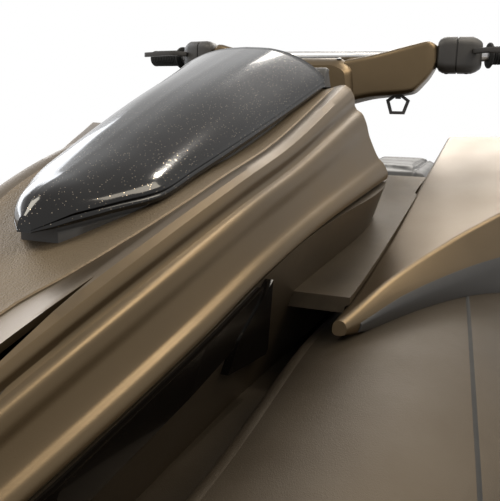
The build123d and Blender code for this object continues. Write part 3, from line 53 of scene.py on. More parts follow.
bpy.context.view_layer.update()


class Slot(Enum):
    """The record's material slots."""

    HULL = "hull_paint"
    DECK = "deck_matt"
    BRONZE = "bronze_matt"
    GLOSS = "gloss_black"
    TRIM = "trim_black"
    BIN = "bin_plastic"
    DISPLAY = "display_gloss"
    MIRROR = "mirror_glass"
    RAIL = "rail_rubber"
    GRIP = "grip_rubber"
    MAT = "mat_foam"
    SEAT = "seat_vinyl"
    STEEL = "steel"
    ALLOY = "cast_alloy"
    IMPELLER = "impeller_steel"
    ENGINE = "engine_metal"
    PANEL = "panel_grain"


class Nodes:
    """A small builder for one material's or group's node tree."""

    def __init__(self, tree: bpy.types.NodeTree) -> None:
        """Keeps the tree that nodes are added to.

        Args:
            tree: The node tree of a material or a group.
        """
        self.tree = tree

    def add(self, kind: str, **settings: object) -> bpy.types.Node:
        """Adds a node and sets its properties and input values.

        Args:
            kind: The node's type name.
            settings: Properties by name; inputs holds input values by number or name.

        Returns:
            The new node.
        """
        node = self.tree.nodes.new(kind)
        for key, value in settings.items():
            if key == "inputs":
                for name, given in value.items():
                    node.inputs[name].default_value = given
            else:
                setattr(node, key, value)
        return node

    def link(self, start: bpy.types.NodeSocket, end: bpy.types.NodeSocket) -> None:
        """Joins an output socket to an input socket."""
        self.tree.links.new(start, end)


Socket = tuple[str, str, object]
GroupParts = tuple[bpy.types.NodeTree, Nodes, bpy.types.Node, bpy.types.Node]


def new_group(name: str, inputs: Sequence[Socket], outputs: Sequence[tuple[str, str]]) -> GroupParts:
    """Makes an empty shader node group with its sockets.

    Args:
        name: The group's name.
        inputs: Socket name, kind (Float, Color or Vector) and default for each input.
        outputs: Socket name and kind for each output.

    Returns:
        The group, a builder for it, and its input and output nodes.
    """
    group = bpy.data.node_groups.new(name, "ShaderNodeTree")
    for label, kind, default in inputs:
        socket = group.interface.new_socket(label, in_out="INPUT", socket_type=f"NodeSocket{kind}")
        if default is not None:
            socket.default_value = default
    for label, kind in outputs:
        group.interface.new_socket(label, in_out="OUTPUT", socket_type=f"NodeSocket{kind}")
    build = Nodes(group)
    return group, build, build.add("NodeGroupInput"), build.add("NodeGroupOutput")


class Effects:
    """The shared node groups, each built once."""

    def __init__(self) -> None:
        """Builds every shared effect."""
        self.grain = self._grain()
        # Masks for the painted edge highlight and the painted hollow shade
        self.edge_light_hollow_shade = self._edge_light_and_hollow_shade()
        # Mask for the dust and painted top sheen on faces that point up
        self.dust_and_sheen = self._dust_and_top_sheen()

    def _grain(self) -> bpy.types.NodeTree:
        """Fine moulded grain: a height and a light and dark mottling.

        Returns:
            The group, with Height and Mottle outputs.
        """
        group, n, gin, gout = new_group(
            "moulded_grain",
            [("Fine Scale", "Float", 1400.0), ("Broad Scale", "Float", 9.0)],
            [("Height", "Float"), ("Mottle", "Float")],
        )
        place = n.add("ShaderNodeTexCoord")
        fine = n.add("ShaderNodeTexVoronoi", feature="SMOOTH_F1")
        soft = n.add("ShaderNodeTexNoise", inputs={"Detail": 4.0, "Roughness": 0.6})
        broad = n.add("ShaderNodeTexNoise", inputs={"Detail": 3.0, "Roughness": 0.5})
        half = n.add("ShaderNodeMath", operation="MULTIPLY", inputs={1: 0.35})
        mix = n.add("ShaderNodeMath", operation="ADD")
        for node in (fine, soft, broad):
            n.link(place.outputs["Object"], node.inputs["Vector"])
        n.link(gin.outputs["Fine Scale"], fine.inputs["Scale"])
        n.link(gin.outputs["Fine Scale"], half.inputs[0])
        n.link(half.outputs[0], soft.inputs["Scale"])
        n.link(gin.outputs["Broad Scale"], broad.inputs["Scale"])
        n.link(fine.outputs["Distance"], mix.inputs[0])
        n.link(soft.outputs["Fac"], mix.inputs[1])
        n.link(mix.outputs[0], gout.inputs["Height"])
        n.link(broad.outputs["Fac"], gout.inputs["Mottle"])
        return group

    def _edge_light_and_hollow_shade(self) -> bpy.types.NodeTree:
        """Masks for painted light: one high along convex edges, where a highlight is painted, and low in
        hollows; one high in hollows, where shade is painted.

        Returns:
            The group, with an output for the painted edge highlight and one for the painted hollow shade.
        """
        group, n, gin, gout = new_group(
            "painted_edge_light_and_hollow_shade", [("Sharpness", "Float", 6.0)], [("Edge", "Float"), ("Painted Hollow Shade", "Float")]
        )
        form = n.add("ShaderNodeNewGeometry")
        place = n.add("ShaderNodeTexCoord")
        rough = n.add("ShaderNodeTexNoise", inputs={"Scale": 60.0, "Detail": 4.0})
        n.link(place.outputs["Object"], rough.inputs["Vector"])
        centre = n.add("ShaderNodeMath", operation="SUBTRACT", inputs={1: 0.5})
        n.link(form.outputs["Pointiness"], centre.inputs[0])
        lift = n.add("ShaderNodeMath", operation="MULTIPLY")
        n.link(centre.outputs[0], lift.inputs[0])
        n.link(gin.outputs["Sharpness"], lift.inputs[1])
        # Painted edge highlight mask: high on convex edges, broken up by noise
        edge = n.add("ShaderNodeMath", operation="MULTIPLY", use_clamp=True)
        n.link(lift.outputs[0], edge.inputs[0])
        n.link(rough.outputs["Fac"], edge.inputs[1])
        # Painted hollow shade mask: high in concave places
        low = n.add("ShaderNodeMath", operation="MULTIPLY", use_clamp=True, inputs={1: -1.0})
        n.link(lift.outputs[0], low.inputs[0])
        n.link(edge.outputs[0], gout.inputs["Edge"])
        n.link(low.outputs[0], gout.inputs["Painted Hollow Shade"])
        return group

    def _dust_and_top_sheen(self) -> bpy.types.NodeTree:
        """Faint dust and smears with a painted top sheen: surfaces that face up pale in patches.

        Returns:
            The group, with one output for the dust and painted top sheen.
        """
        group, n, gin, gout = new_group("dust_and_painted_top_sheen", [("Amount", "Float", 0.2)], [("Dust And Top Sheen", "Float")])
        form = n.add("ShaderNodeNewGeometry")
        split = n.add("ShaderNodeSeparateXYZ")
        place = n.add("ShaderNodeTexCoord")
        patch = n.add("ShaderNodeTexNoise", inputs={"Scale": 14.0, "Detail": 8.0, "Roughness": 0.7})
        n.link(form.outputs["Normal"], split.inputs[0])
        n.link(place.outputs["Object"], patch.inputs["Vector"])
        # Faces that point up, in noise patches: where the dust and painted top sheen go
        up = n.add("ShaderNodeMath", operation="MULTIPLY", use_clamp=True)
        n.link(split.outputs["Z"], up.inputs[0])
        n.link(patch.outputs["Fac"], up.inputs[1])
        share = n.add("ShaderNodeMath", operation="MULTIPLY", use_clamp=True)
        n.link(up.outputs[0], share.inputs[0])
        n.link(gin.outputs["Amount"], share.inputs[1])
        n.link(share.outputs[0], gout.inputs["Dust And Top Sheen"])
        return group


EFFECTS = Effects()

Colour = tuple[float, float, float]
Point = tuple[float, float, float]
Flat = tuple[float, float]


def rgba(colour: Colour) -> tuple[float, float, float, float]:
    """A colour with full alpha."""
    return (*colour, 1.0)


@dataclass(frozen=True)
class GrainedFinish:
    """Paint or plastic with a moulded grain, a painted highlight along convex edges, and a little dust with a
    painted top sheen.
    """

    name: str
    colour: Colour
    # The lighter colour of the painted highlight along convex edges
    edge_highlight_colour: Colour
    roughness: float
    metallic: float = 0.0
    fine_scale: float = 1400.0
    bump: float = 0.12
    coat: float = 0.0
    coat_roughness: float = 0.1
    # Strength of the dust and painted top sheen
    dust_and_sheen: float = 0.1
    mottle: float = 0.15
    specular: float = 0.5

    def make(self) -> bpy.types.Material:
        """Builds the material.

        Returns:
            The finished material.
        """
        mat = bpy.data.materials.new(self.name)
        mat.use_nodes = True
        n = Nodes(mat.node_tree)
        shader = mat.node_tree.nodes["Principled BSDF"]
        shader.inputs["Metallic"].default_value = self.metallic
        shader.inputs["Coat Weight"].default_value = self.coat
        shader.inputs["Coat Roughness"].default_value = self.coat_roughness
        shader.inputs["Specular IOR Level"].default_value = self.specular
        grain = n.add("ShaderNodeGroup", node_tree=EFFECTS.grain)
        grain.inputs["Fine Scale"].default_value = self.fine_scale
        edge_light_hollow_shade = n.add("ShaderNodeGroup", node_tree=EFFECTS.edge_light_hollow_shade)
        dust_and_sheen = n.add("ShaderNodeGroup", node_tree=EFFECTS.dust_and_sheen)
        dust_and_sheen.inputs["Amount"].default_value = self.dust_and_sheen
        dark = tuple(c * (1 - self.mottle) for c in self.colour)
        pale = tuple(min(1.0, c * (1 + self.mottle)) for c in self.colour)
        base = n.add("ShaderNodeMix", data_type="RGBA")
        base.inputs["A"].default_value = rgba(dark)
        base.inputs["B"].default_value = rgba(pale)
        n.link(grain.outputs["Mottle"], base.inputs["Factor"])
        # Painted highlight: convex edges are mixed towards the lighter edge colour, broken up by noise
        edge_highlighted = n.add("ShaderNodeMix", data_type="RGBA")
        edge_highlighted.inputs["B"].default_value = rgba(self.edge_highlight_colour)
        n.link(base.outputs["Result"], edge_highlighted.inputs["A"])
        n.link(edge_light_hollow_shade.outputs["Edge"], edge_highlighted.inputs["Factor"])
        # Dust and painted top sheen: faces that point up pale towards grey in patches
        dusted_and_sheened = n.add("ShaderNodeMix", data_type="RGBA")
        dusted_and_sheened.inputs["B"].default_value = rgba((0.30, 0.28, 0.25))
        n.link(edge_highlighted.outputs["Result"], dusted_and_sheened.inputs["A"])
        n.link(dust_and_sheen.outputs["Dust And Top Sheen"], dusted_and_sheened.inputs["Factor"])
        n.link(dusted_and_sheened.outputs["Result"], shader.inputs["Base Color"])
        spans = {1: 0.3, 2: 0.7, 3: self.roughness - 0.04, 4: self.roughness + 0.05}
        rough = n.add("ShaderNodeMapRange", inputs=spans)
        n.link(grain.outputs["Mottle"], rough.inputs[0])
        n.link(rough.outputs[0], shader.inputs["Roughness"])
        bump = n.add("ShaderNodeBump", inputs={"Strength": self.bump, "Distance": 0.0006})
        n.link(grain.outputs["Height"], bump.inputs["Height"])
        n.link(bump.outputs["Normal"], shader.inputs["Normal"])
        return mat


@dataclass(frozen=True)
class FlakeGloss:
    """Deep gloss black with fine metal flake under a clear coat."""

    name: str
    colour: Colour
    flake: Colour
    flake_scale: float = 900.0
    flake_share: float = 0.06
    roughness: float = 0.12
    coat: float = 0.35
    coat_roughness: float = 0.03
    specular: float = 0.16

    def make(self) -> bpy.types.Material:
        """Builds the material.

        Returns:
            The finished material.
        """
        mat = bpy.data.materials.new(self.name)
        mat.use_nodes = True
        n = Nodes(mat.node_tree)
        shader = mat.node_tree.nodes["Principled BSDF"]
        shader.inputs["Coat Weight"].default_value = self.coat
        shader.inputs["Coat Roughness"].default_value = self.coat_roughness
        shader.inputs["Specular IOR Level"].default_value = self.specular
        place = n.add("ShaderNodeTexCoord")
        specks = n.add("ShaderNodeTexVoronoi", feature="F1", inputs={"Scale": self.flake_scale})
        n.link(place.outputs["Object"], specks.inputs["Vector"])
        pick = n.add("ShaderNodeSeparateColor")
        n.link(specks.outputs["Color"], pick.inputs[0])
        some = n.add("ShaderNodeMath", operation="GREATER_THAN", inputs={1: 1.0 - self.flake_share})
        n.link(pick.outputs["Red"], some.inputs[0])
        near = n.add("ShaderNodeMath", operation="LESS_THAN", inputs={1: 0.32})
        n.link(specks.outputs["Distance"], near.inputs[0])
        mask = n.add("ShaderNodeMath", operation="MULTIPLY")
        n.link(some.outputs[0], mask.inputs[0])
        n.link(near.outputs[0], mask.inputs[1])
        tint = n.add("ShaderNodeMix", data_type="RGBA")
        tint.inputs["A"].default_value = rgba(self.colour)
        tint.inputs["B"].default_value = rgba(self.flake)
        n.link(mask.outputs[0], tint.inputs["Factor"])
        n.link(tint.outputs["Result"], shader.inputs["Base Color"])
        n.link(mask.outputs[0], shader.inputs["Metallic"])
        smear = n.add("ShaderNodeTexNoise", inputs={"Scale": 5.0, "Detail": 5.0})
        n.link(place.outputs["Object"], smear.inputs["Vector"])
        spans = {1: 0.3, 2: 0.7, 3: self.roughness, 4: self.roughness + 0.1}
        rough = n.add("ShaderNodeMapRange", inputs=spans)
        n.link(smear.outputs["Fac"], rough.inputs[0])
        n.link(rough.outputs[0], shader.inputs["Roughness"])
        return mat


@dataclass(frozen=True)
class BrushedMetal:
    """Stainless steel or alloy with fine brushing along one axis and painted shade in its hollows."""

    name: str
    colour: Colour
    roughness: float
    stretch: tuple[float, float, float] = (40.0, 900.0, 900.0)
    bump: float = 0.05

    def make(self) -> bpy.types.Material:
        """Builds the material.

        Returns:
            The finished material.
        """
        mat = bpy.data.materials.new(self.name)
        mat.use_nodes = True
        n = Nodes(mat.node_tree)
        shader = mat.node_tree.nodes["Principled BSDF"]
        shader.inputs["Metallic"].default_value = 1.0
        place = n.add("ShaderNodeTexCoord")
        turn = n.add("ShaderNodeMapping")
        turn.inputs["Scale"].default_value = self.stretch
        lines = n.add("ShaderNodeTexNoise", inputs={"Scale": 1.0, "Detail": 3.0})
        n.link(place.outputs["Object"], turn.inputs["Vector"])
        n.link(turn.outputs["Vector"], lines.inputs["Vector"])
        edge_light_hollow_shade = n.add("ShaderNodeGroup", node_tree=EFFECTS.edge_light_hollow_shade)
        tint = n.add("ShaderNodeMix", data_type="RGBA")
        tint.inputs["A"].default_value = rgba(tuple(c * 0.8 for c in self.colour))
        tint.inputs["B"].default_value = rgba(self.colour)
        n.link(lines.outputs["Fac"], tint.inputs["Factor"])
        # Painted shade: hollows and creases darken towards near black
        hollow_shaded = n.add("ShaderNodeMix", data_type="RGBA")
        hollow_shaded.inputs["B"].default_value = rgba((0.03, 0.028, 0.025))
        n.link(tint.outputs["Result"], hollow_shaded.inputs["A"])
        n.link(edge_light_hollow_shade.outputs["Painted Hollow Shade"], hollow_shaded.inputs["Factor"])
        n.link(hollow_shaded.outputs["Result"], shader.inputs["Base Color"])
        rough = n.add("ShaderNodeMapRange", inputs={3: self.roughness - 0.06, 4: self.roughness + 0.08})
        n.link(lines.outputs["Fac"], rough.inputs[0])
        n.link(rough.outputs[0], shader.inputs["Roughness"])
        bump = n.add("ShaderNodeBump", inputs={"Strength": self.bump, "Distance": 0.0004})
        n.link(lines.outputs["Fac"], bump.inputs["Height"])
        n.link(bump.outputs["Normal"], shader.inputs["Normal"])
        return mat


@dataclass(frozen=True)
class GroovedMat:
    """Closed-cell foam or rubber with pressed grooves."""

    name: str
    colour: Colour
    groove_colour: Colour
    pitch: float = 26.0
    bump: float = 0.6

    def make(self) -> bpy.types.Material:
        """Builds the material.

        Returns:
            The finished material.
        """
        mat = bpy.data.materials.new(self.name)
        mat.use_nodes = True
        n = Nodes(mat.node_tree)
        shader = mat.node_tree.nodes["Principled BSDF"]
        shader.inputs["Specular IOR Level"].default_value = 0.3
        place = n.add("ShaderNodeTexCoord")
        turn = n.add("ShaderNodeMapping")
        turn.inputs["Rotation"].default_value = (0, 0, math.radians(45))
        grooves = {"Scale": self.pitch, "Mortar Size": 0.035, "Mortar Smooth": 0.4}
        bricks = n.add("ShaderNodeTexBrick", inputs={**grooves, "Brick Width": 1.4, "Row Height": 0.5})
        bricks.inputs["Color1"].default_value = rgba(self.colour)
        bricks.inputs["Color2"].default_value = rgba(tuple(c * 0.85 for c in self.colour))
        bricks.inputs["Mortar"].default_value = rgba(self.groove_colour)
        n.link(place.outputs["Object"], turn.inputs["Vector"])
        n.link(turn.outputs["Vector"], bricks.inputs["Vector"])
        n.link(bricks.outputs["Color"], shader.inputs["Base Color"])
        grain = n.add("ShaderNodeGroup", node_tree=EFFECTS.grain)
        sunk = n.add("ShaderNodeMath", operation="MULTIPLY_ADD", inputs={1: -6.0})
        n.link(bricks.outputs["Fac"], sunk.inputs[0])
        n.link(grain.outputs["Height"], sunk.inputs[2])
        bump = n.add("ShaderNodeBump", inputs={"Strength": self.bump, "Distance": 0.0005})
        n.link(sunk.outputs[0], bump.inputs["Height"])
        n.link(bump.outputs["Normal"], shader.inputs["Normal"])
        rough = n.add("ShaderNodeMapRange", inputs={3: 0.7, 4: 0.9})
        n.link(grain.outputs["Mottle"], rough.inputs[0])
        n.link(rough.outputs[0], shader.inputs["Roughness"])
        return mat


@dataclass(frozen=True)
class MirrorFinish:
    """Silvered mirror glass with faint smears."""

    name: str

    def make(self) -> bpy.types.Material:
        """Builds the material.

        Returns:
            The finished material.
        """
        mat = bpy.data.materials.new(self.name)
        mat.use_nodes = True
        n = Nodes(mat.node_tree)
        shader = mat.node_tree.nodes["Principled BSDF"]
        shader.inputs["Metallic"].default_value = 1.0
        shader.inputs["Base Color"].default_value = rgba((0.8, 0.82, 0.84))
        place = n.add("ShaderNodeTexCoord")
        smear = n.add("ShaderNodeTexNoise", inputs={"Scale": 12.0, "Detail": 5.0})
        n.link(place.outputs["Object"], smear.inputs["Vector"])
        rough = n.add("ShaderNodeMapRange", inputs={1: 0.4, 2: 0.8, 3: 0.02, 4: 0.12})
        n.link(smear.outputs["Fac"], rough.inputs[0])
        n.link(rough.outputs[0], shader.inputs["Roughness"])
        return mat


# The second colour of each grained finish is the lighter tone of its painted edge highlight
FINISHES = {
    Slot.HULL: GrainedFinish(
        "hull_gelcoat",
        (0.020, 0.019, 0.018),
        (0.05, 0.048, 0.045),
        0.3,
        fine_scale=300.0,
        bump=0.03,
        coat=0.6,
    ),
    Slot.DECK: GrainedFinish(
        "deck_moulding",
        (0.046, 0.033, 0.019),
        (0.10, 0.074, 0.045),
        0.46,
        metallic=0.6,
        bump=0.25,
        specular=0.4,
    ),
    Slot.BRONZE: GrainedFinish(
        "bronze_grey_paint", (0.098, 0.068, 0.036), (0.22, 0.16, 0.095), 0.37, metallic=0.85, bump=0.08
    ),
    Slot.PANEL: GrainedFinish(
        "sand_grain_panel",
        (0.135, 0.098, 0.056),
        (0.26, 0.19, 0.12),
        0.56,
        metallic=0.45,
        fine_scale=700.0,
        bump=0.9,
    ),
    Slot.GLOSS: FlakeGloss("gloss_flake_black", (0.0065, 0.0052, 0.0042), (0.40, 0.33, 0.25)),
    Slot.TRIM: GrainedFinish("black_moulding", (0.022, 0.019, 0.016), (0.07, 0.065, 0.06), 0.52),
    Slot.BIN: GrainedFinish("bin_moulding", (0.02, 0.02, 0.02), (0.06, 0.06, 0.06), 0.65, bump=0.3),
    Slot.DISPLAY: FlakeGloss(
        "display_glass", (0.004, 0.004, 0.005), (0.02, 0.02, 0.02), flake_share=0.0, roughness=0.05
    ),
    Slot.MIRROR: MirrorFinish("mirror_silver"),
    Slot.RAIL: GrainedFinish(
        "rail_rubber", (0.012, 0.012, 0.012), (0.05, 0.05, 0.05), 0.7, bump=0.2, specular=0.3
    ),
    Slot.GRIP: GrainedFinish(
        "grip_rubber",
        (0.016, 0.016, 0.016),
        (0.05, 0.05, 0.05),
        0.8,
        fine_scale=700.0,
        bump=0.4,
        specular=0.25,
    ),
    Slot.MAT: GroovedMat("foam_mat", (0.05, 0.048, 0.045), (0.012, 0.012, 0.012)),
    Slot.SEAT: GrainedFinish(
        "seat_vinyl", (0.018, 0.017, 0.016), (0.05, 0.05, 0.05), 0.5, fine_scale=500.0, bump=0.5
    ),
    Slot.STEEL: BrushedMetal("stainless_steel", (0.62, 0.61, 0.6), 0.28),
    Slot.ALLOY: BrushedMetal("cast_alloy", (0.2, 0.2, 0.21), 0.5, (300.0, 300.0, 300.0), 0.3),
    Slot.IMPELLER: BrushedMetal("polished_steel", (0.7, 0.69, 0.68), 0.15),
    Slot.ENGINE: GrainedFinish(
        "engine_casting", (0.03, 0.03, 0.032), (0.12, 0.12, 0.12), 0.6, fine_scale=200.0, bump=0.5
    ),
}


class Workshop:
    """Holds the made materials and dresses CAD nodes and new pieces."""

    def __init__(self) -> None:
        """Makes every finish once."""
        self.materials = {slot: finish.make() for slot, finish in FINISHES.items()}

    def dress(self, obj: bpy.types.Object, slot: Slot) -> None:
        """Gives an object one finish.

        Args:
            obj: The object to dress.
            slot: The slot whose finish it takes.
        """
        obj.data.materials.clear()
        obj.data.materials.append(self.materials[slot])

    def dress_frame(self) -> None:
        """Gives every CAD node the finish of its slot in the record."""
        for row in frame["record"]["subparts"]:
            node = frame["nodes"][row["node"]]
            self.dress(node, Slot(row["material_slot"]))
            log.info("dressed %s as %s", row["node"], row["material_slot"])


def eased(table: Sequence[Sequence[float]], column: int, at: float) -> float:
    """Reads a column of a station table on a smooth curve that never overshoots.

    Args:
        table: Rows sorted by their first value.
        column: The column to read.
        at: Where to read it, in the first column's terms.

    Returns:
        The value there.
    """
    last = len(table) - 1
    steps = [(b[column] - a[column]) / (b[0] - a[0]) for a, b in zip(table, table[1:])]
    i = next((k for k in range(last) if at <= table[k + 1][0]), last - 1)

    def slope(k: int) -> float:
        """Slope at a row, the harmonic mean of the runs beside it.

        Args:
            k: The row.

        Returns:
            The slope there.
        """
        if k in (0, last):
            return steps[0] if k == 0 else steps[-1]
        low, high = steps[k - 1], steps[k]
        return 0.0 if low * high <= 0 else 2 * low * high / (low + high)

    run = table[i + 1][0] - table[i][0]
    t = (at - table[i][0]) / run
    a, b = table[i][column], table[i + 1][column]
    bend = t * (1 - t) ** 2 * slope(i) - t * t * (1 - t) * slope(i + 1)
    return a + (b - a) * t * t * (3 - 2 * t) + run * bend


def spread(start: float, end: float, count: int) -> list[float]:
    """Evenly spaced values from start to end, both ends included."""
    return [start + (end - start) * i / (count - 1) for i in range(count)]


def rounded(points: Sequence[Flat], radii: float | Sequence[float], steps: int = 4) -> list[Flat]:
    """Rounds the corners of a closed flat outline.

    Args:
        points: The outline's corners in order.
        radii: One radius for all corners, or one for each.
        steps: How many edges each rounded corner gets.

    Returns:
        The rounded outline, steps + 1 points for each corner.
    """
    out = []
    sizes = [radii] * len(points) if isinstance(radii, (int, float)) else radii
    for i, (x, z) in enumerate(points):
        here = Vector((x, z))
        back = Vector(points[i - 1]) - here
        ahead = Vector(points[(i + 1) % len(points)]) - here
        start = here + back.normalized() * min(sizes[i], back.length * 0.45)
        end = here + ahead.normalized() * min(sizes[i], ahead.length * 0.45)
        for k in range(steps + 1):
            t = k / steps
            out.append(tuple(start * (1 - t) ** 2 + here * (2 * t * (1 - t)) + end * t * t))
    return out


def both_sides(points: Sequence[Flat]) -> list[Flat]:
    """A port half section with its starboard twin after it, in one loop."""
    return list(points) + [(-x, z) for x, z in reversed(points) if x > 1e-9]


def across_at(y: float, section: Sequence[Flat]) -> list[Point]:
    """Places a flat (x, z) section across the boat at y."""
    return [(x, y, z) for x, z in section]


@dataclass
class Bench:
    """The modelling steps that every sub-assembly shares, done with Blender's own operators."""

    shop: "Workshop"
    # A laid pad's share of its thickness left at the edge, and how far it reaches into its surface
    pad_edge: float = 0.15
    pad_sunk: float = 0.0008

    def loft(
        self, name: str, rings: Sequence[Sequence[Point]], closed: bool = True, caps: bool = True
    ) -> bpy.types.Object:
        """Extrudes a primitive ring from section to section.

        Args:
            name: The new object's name.
            rings: Sections with the same number of points.
            closed: False leaves each ring open between its last and first point.
            caps: True closes both ends with a face.

        Returns:
            The new mesh object with its normals outwards.
        """
        bpy.ops.object.select_all(action="DESELECT")
        count = len(rings[0])
        bpy.ops.mesh.primitive_circle_add(vertices=count, radius=1.0, location=(0, 0, 0))
        obj = bpy.context.active_object
        obj.name = obj.data.name = name
        bpy.ops.object.mode_set(mode="EDIT")
        bpy.ops.mesh.select_mode(type="EDGE")
        form = bmesh.from_edit_mesh(obj.data)
        form.verts.ensure_lookup_table()
        order = list(form.verts)
        for vert, point in zip(order, rings[0]):
            vert.co = point
        if not closed:
            form.edges.remove(form.edges.get((order[0], order[-1])))
        places = {tuple(vert.co): i for i, vert in enumerate(order)}
        for ring in rings[1:]:
            bpy.ops.mesh.extrude_edges_indiv()
            form = bmesh.from_edit_mesh(obj.data)
            form.verts.ensure_lookup_table()
            following = {}
            for vert in form.verts[-count:]:
                i = places[tuple(vert.co)]
                vert.co = ring[i]
                following[tuple(vert.co)] = i
            places = following
        bmesh.update_edit_mesh(obj.data)
        if caps:
            self._cap(obj, 0, count)
            self._cap(obj, len(rings) * count - count, len(rings) * count)
        bpy.ops.mesh.select_all(action="SELECT")
        bpy.ops.mesh.remove_doubles(threshold=1e-6)
        bpy.ops.mesh.normals_make_consistent(inside=False)
        form = bmesh.from_edit_mesh(obj.data)
        form.normal_update()
        middle = sum((face.calc_center_median() for face in form.faces), Vector()) / len(form.faces)
        outward = sum((f.calc_center_median() - middle).dot(f.normal) * f.calc_area() for f in form.faces)
        if not closed and outward < 0:
            bpy.ops.mesh.flip_normals()
        bpy.ops.object.mode_set(mode="OBJECT")
        return obj

    def _cap(self, obj: bpy.types.Object, start: int, end: int) -> None:
        """Closes one end of a loft with a face.

        Args:
            obj: The object in edit mode.
            start: The end ring's first vertex.
            end: One past the end ring's last vertex.
        """
        bpy.ops.mesh.select_mode(type="VERT")
        bpy.ops.mesh.select_all(action="DESELECT")
        form = bmesh.from_edit_mesh(obj.data)
        form.verts.ensure_lookup_table()
        for vert in form.verts[start:end]:
            vert.select_set(True)
        form.select_flush(True)
        bmesh.update_edit_mesh(obj.data)
        bpy.ops.mesh.edge_face_add()

    def tube(
        self, name: str, points: Sequence[Point], radius: float, sides: int = 12, closed: bool = False
    ) -> bpy.types.Object:
        """Sweeps a round section along points.

        Args:
            name: The new object's name.
            points: The tube's centre line.
            radius: The tube's radius.
            sides: How many points each round section has.
            closed: True joins the end to the start.

        Returns:
            The new mesh object.
        """
        line = [Vector(p) for p in points]
        count = len(line)
        rings = []
        guide = None
        for i, here in enumerate(line):
            before = line[i - 1] if closed or i else here
            after = line[(i + 1) % count] if closed or i < count - 1 else here
            way = (after - before).normalized()
            if guide is None:
                guide = way.orthogonal().normalized()
            guide = (guide - way * guide.dot(way)).normalized()
            side = way.cross(guide)
            turns = [2 * math.pi * k / sides for k in range(sides)]
            rings.append([tuple(here + (guide * math.cos(a) + side * math.sin(a)) * radius) for a in turns])
        if closed:
            rings.append(rings[0])
        return self.loft(name, rings, caps=not closed)

    def turned(
        self, name: str, start: Point, way: Point, profile: Sequence[Flat], sides: int = 24
    ) -> bpy.types.Object:
        """Makes a round piece from distances along its axis and radii.

        Args:
            name: The new object's name.
            start: Where the axis starts.
            way: The axis direction.
            profile: Pairs of distance along the axis and radius.
            sides: How many points go round.

        Returns:
            The new mesh object.
        """
        axis = Vector(way).normalized()
        guide = axis.orthogonal().normalized()
        side = axis.cross(guide)
        turns = [2 * math.pi * k / sides for k in range(sides)]
        rings = []
        for along, radius in profile:
            centre = Vector(start) + axis * along
            rings.append([tuple(centre + (guide * math.cos(a) + side * math.sin(a)) * radius) for a in turns])
        return self.loft(name, rings)

    def plate(
        self, name: str, outline: Sequence[Point], thick: Point, bevel: float = 0.001, segments: int = 2
    ) -> bpy.types.Object:
        """Extrudes a flat outline into a plate with eased edges.

        Args:
            name: The new object's name.
            outline: The outline's points in space.
            thick: The step from one face to the other.
            bevel: The width of the eased edges.
            segments: How many faces each eased edge gets.

        Returns:
            The new mesh object.
        """
        far = [tuple(Vector(p) + Vector(thick)) for p in outline]
        obj = self.loft(name, [outline, far])
        if bevel:
            self.modify(obj, "BEVEL", width=bevel, segments=segments, limit_method="ANGLE")
        return obj

    def block(
        self, name: str, low: Point, high: Point, bevel: float = 0.002, segments: int = 3
    ) -> bpy.types.Object:
        """Makes a block with rounded edges between two corners.

        Args:
            name: The new object's name.
            low: The lowest corner.
            high: The highest corner.
            bevel: The radius of the edges.
            segments: How many faces each rounded edge gets.

        Returns:
            The new mesh object.
        """
        (x0, y0, z0), (x1, y1, z1) = low, high
        floor = [(x0, y0, z0), (x1, y0, z0), (x1, y1, z0), (x0, y1, z0)]
        return self.plate(name, floor, (0, 0, z1 - z0), bevel, segments)

    def modify(self, obj: bpy.types.Object, kind: str, **settings: object) -> None:
        """Adds a modifier with its settings and applies it.

        Args:
            obj: The object to change.
            kind: The modifier's type.
            settings: The modifier's properties.
        """
        bpy.ops.object.select_all(action="DESELECT")
        obj.select_set(True)
        bpy.context.view_layer.objects.active = obj
        step = obj.modifiers.new(kind.lower(), kind)
        for key, value in settings.items():
            setattr(step, key, value)
        bpy.ops.object.modifier_apply(modifier=step.name)

    def cut(self, obj: bpy.types.Object, cutter: bpy.types.Object) -> None:
        """Takes a cutter's form out of an object and removes the cutter."""
        self.modify(obj, "BOOLEAN", operation="DIFFERENCE", solver="MANIFOLD", object=cutter)
        bpy.data.objects.remove(cutter, do_unlink=True)

    def join(self, name: str, parts: Sequence[bpy.types.Object]) -> bpy.types.Object:
        """Joins pieces of one finish into one object.

        Args:
            name: The joined object's name.
            parts: The pieces to join.

        Returns:
            The joined object.
        """
        bpy.ops.object.select_all(action="DESELECT")
        for part in parts:
            part.select_set(True)
        bpy.context.view_layer.objects.active = parts[0]
        if len(parts) > 1:
            bpy.ops.object.join()
        parts[0].name = parts[0].data.name = name
        return parts[0]

    def copies(
        self, name: str, piece: bpy.types.Object, places: Sequence[tuple[Point, Point]]
    ) -> bpy.types.Object:
        """Copies a piece modelled at the origin, up +Z, to many places and joins the copies.

        Args:
            name: The joined object's name.
            piece: The modelled piece, removed at the end.
            places: Where each copy stands and which way its +Z points.

        Returns:
            The joined object.
        """
        twins = []
        for point, way in places:
            twin = piece.copy()
            twin.data = piece.data.copy()
            bpy.context.scene.collection.objects.link(twin)
            turn = Vector(way).to_track_quat("Z", "Y").to_matrix().to_4x4()
            twin.data.transform(Matrix.Translation(Vector(point)) @ turn)
            twins.append(twin)
        bpy.data.objects.remove(piece, do_unlink=True)
        return self.join(name, twins)

    def skin(self, node: str) -> BVHTree:
        """The surface of a CAD node, for seating small pieces on it.

        Args:
            node: The node's name.

        Returns:
            The surface in the shared frame.
        """
        obj = bpy.data.objects[node]
        points = [obj.matrix_world @ vert.co for vert in obj.data.vertices]
        return BVHTree.FromPolygons(points, [tuple(face.vertices) for face in obj.data.polygons])

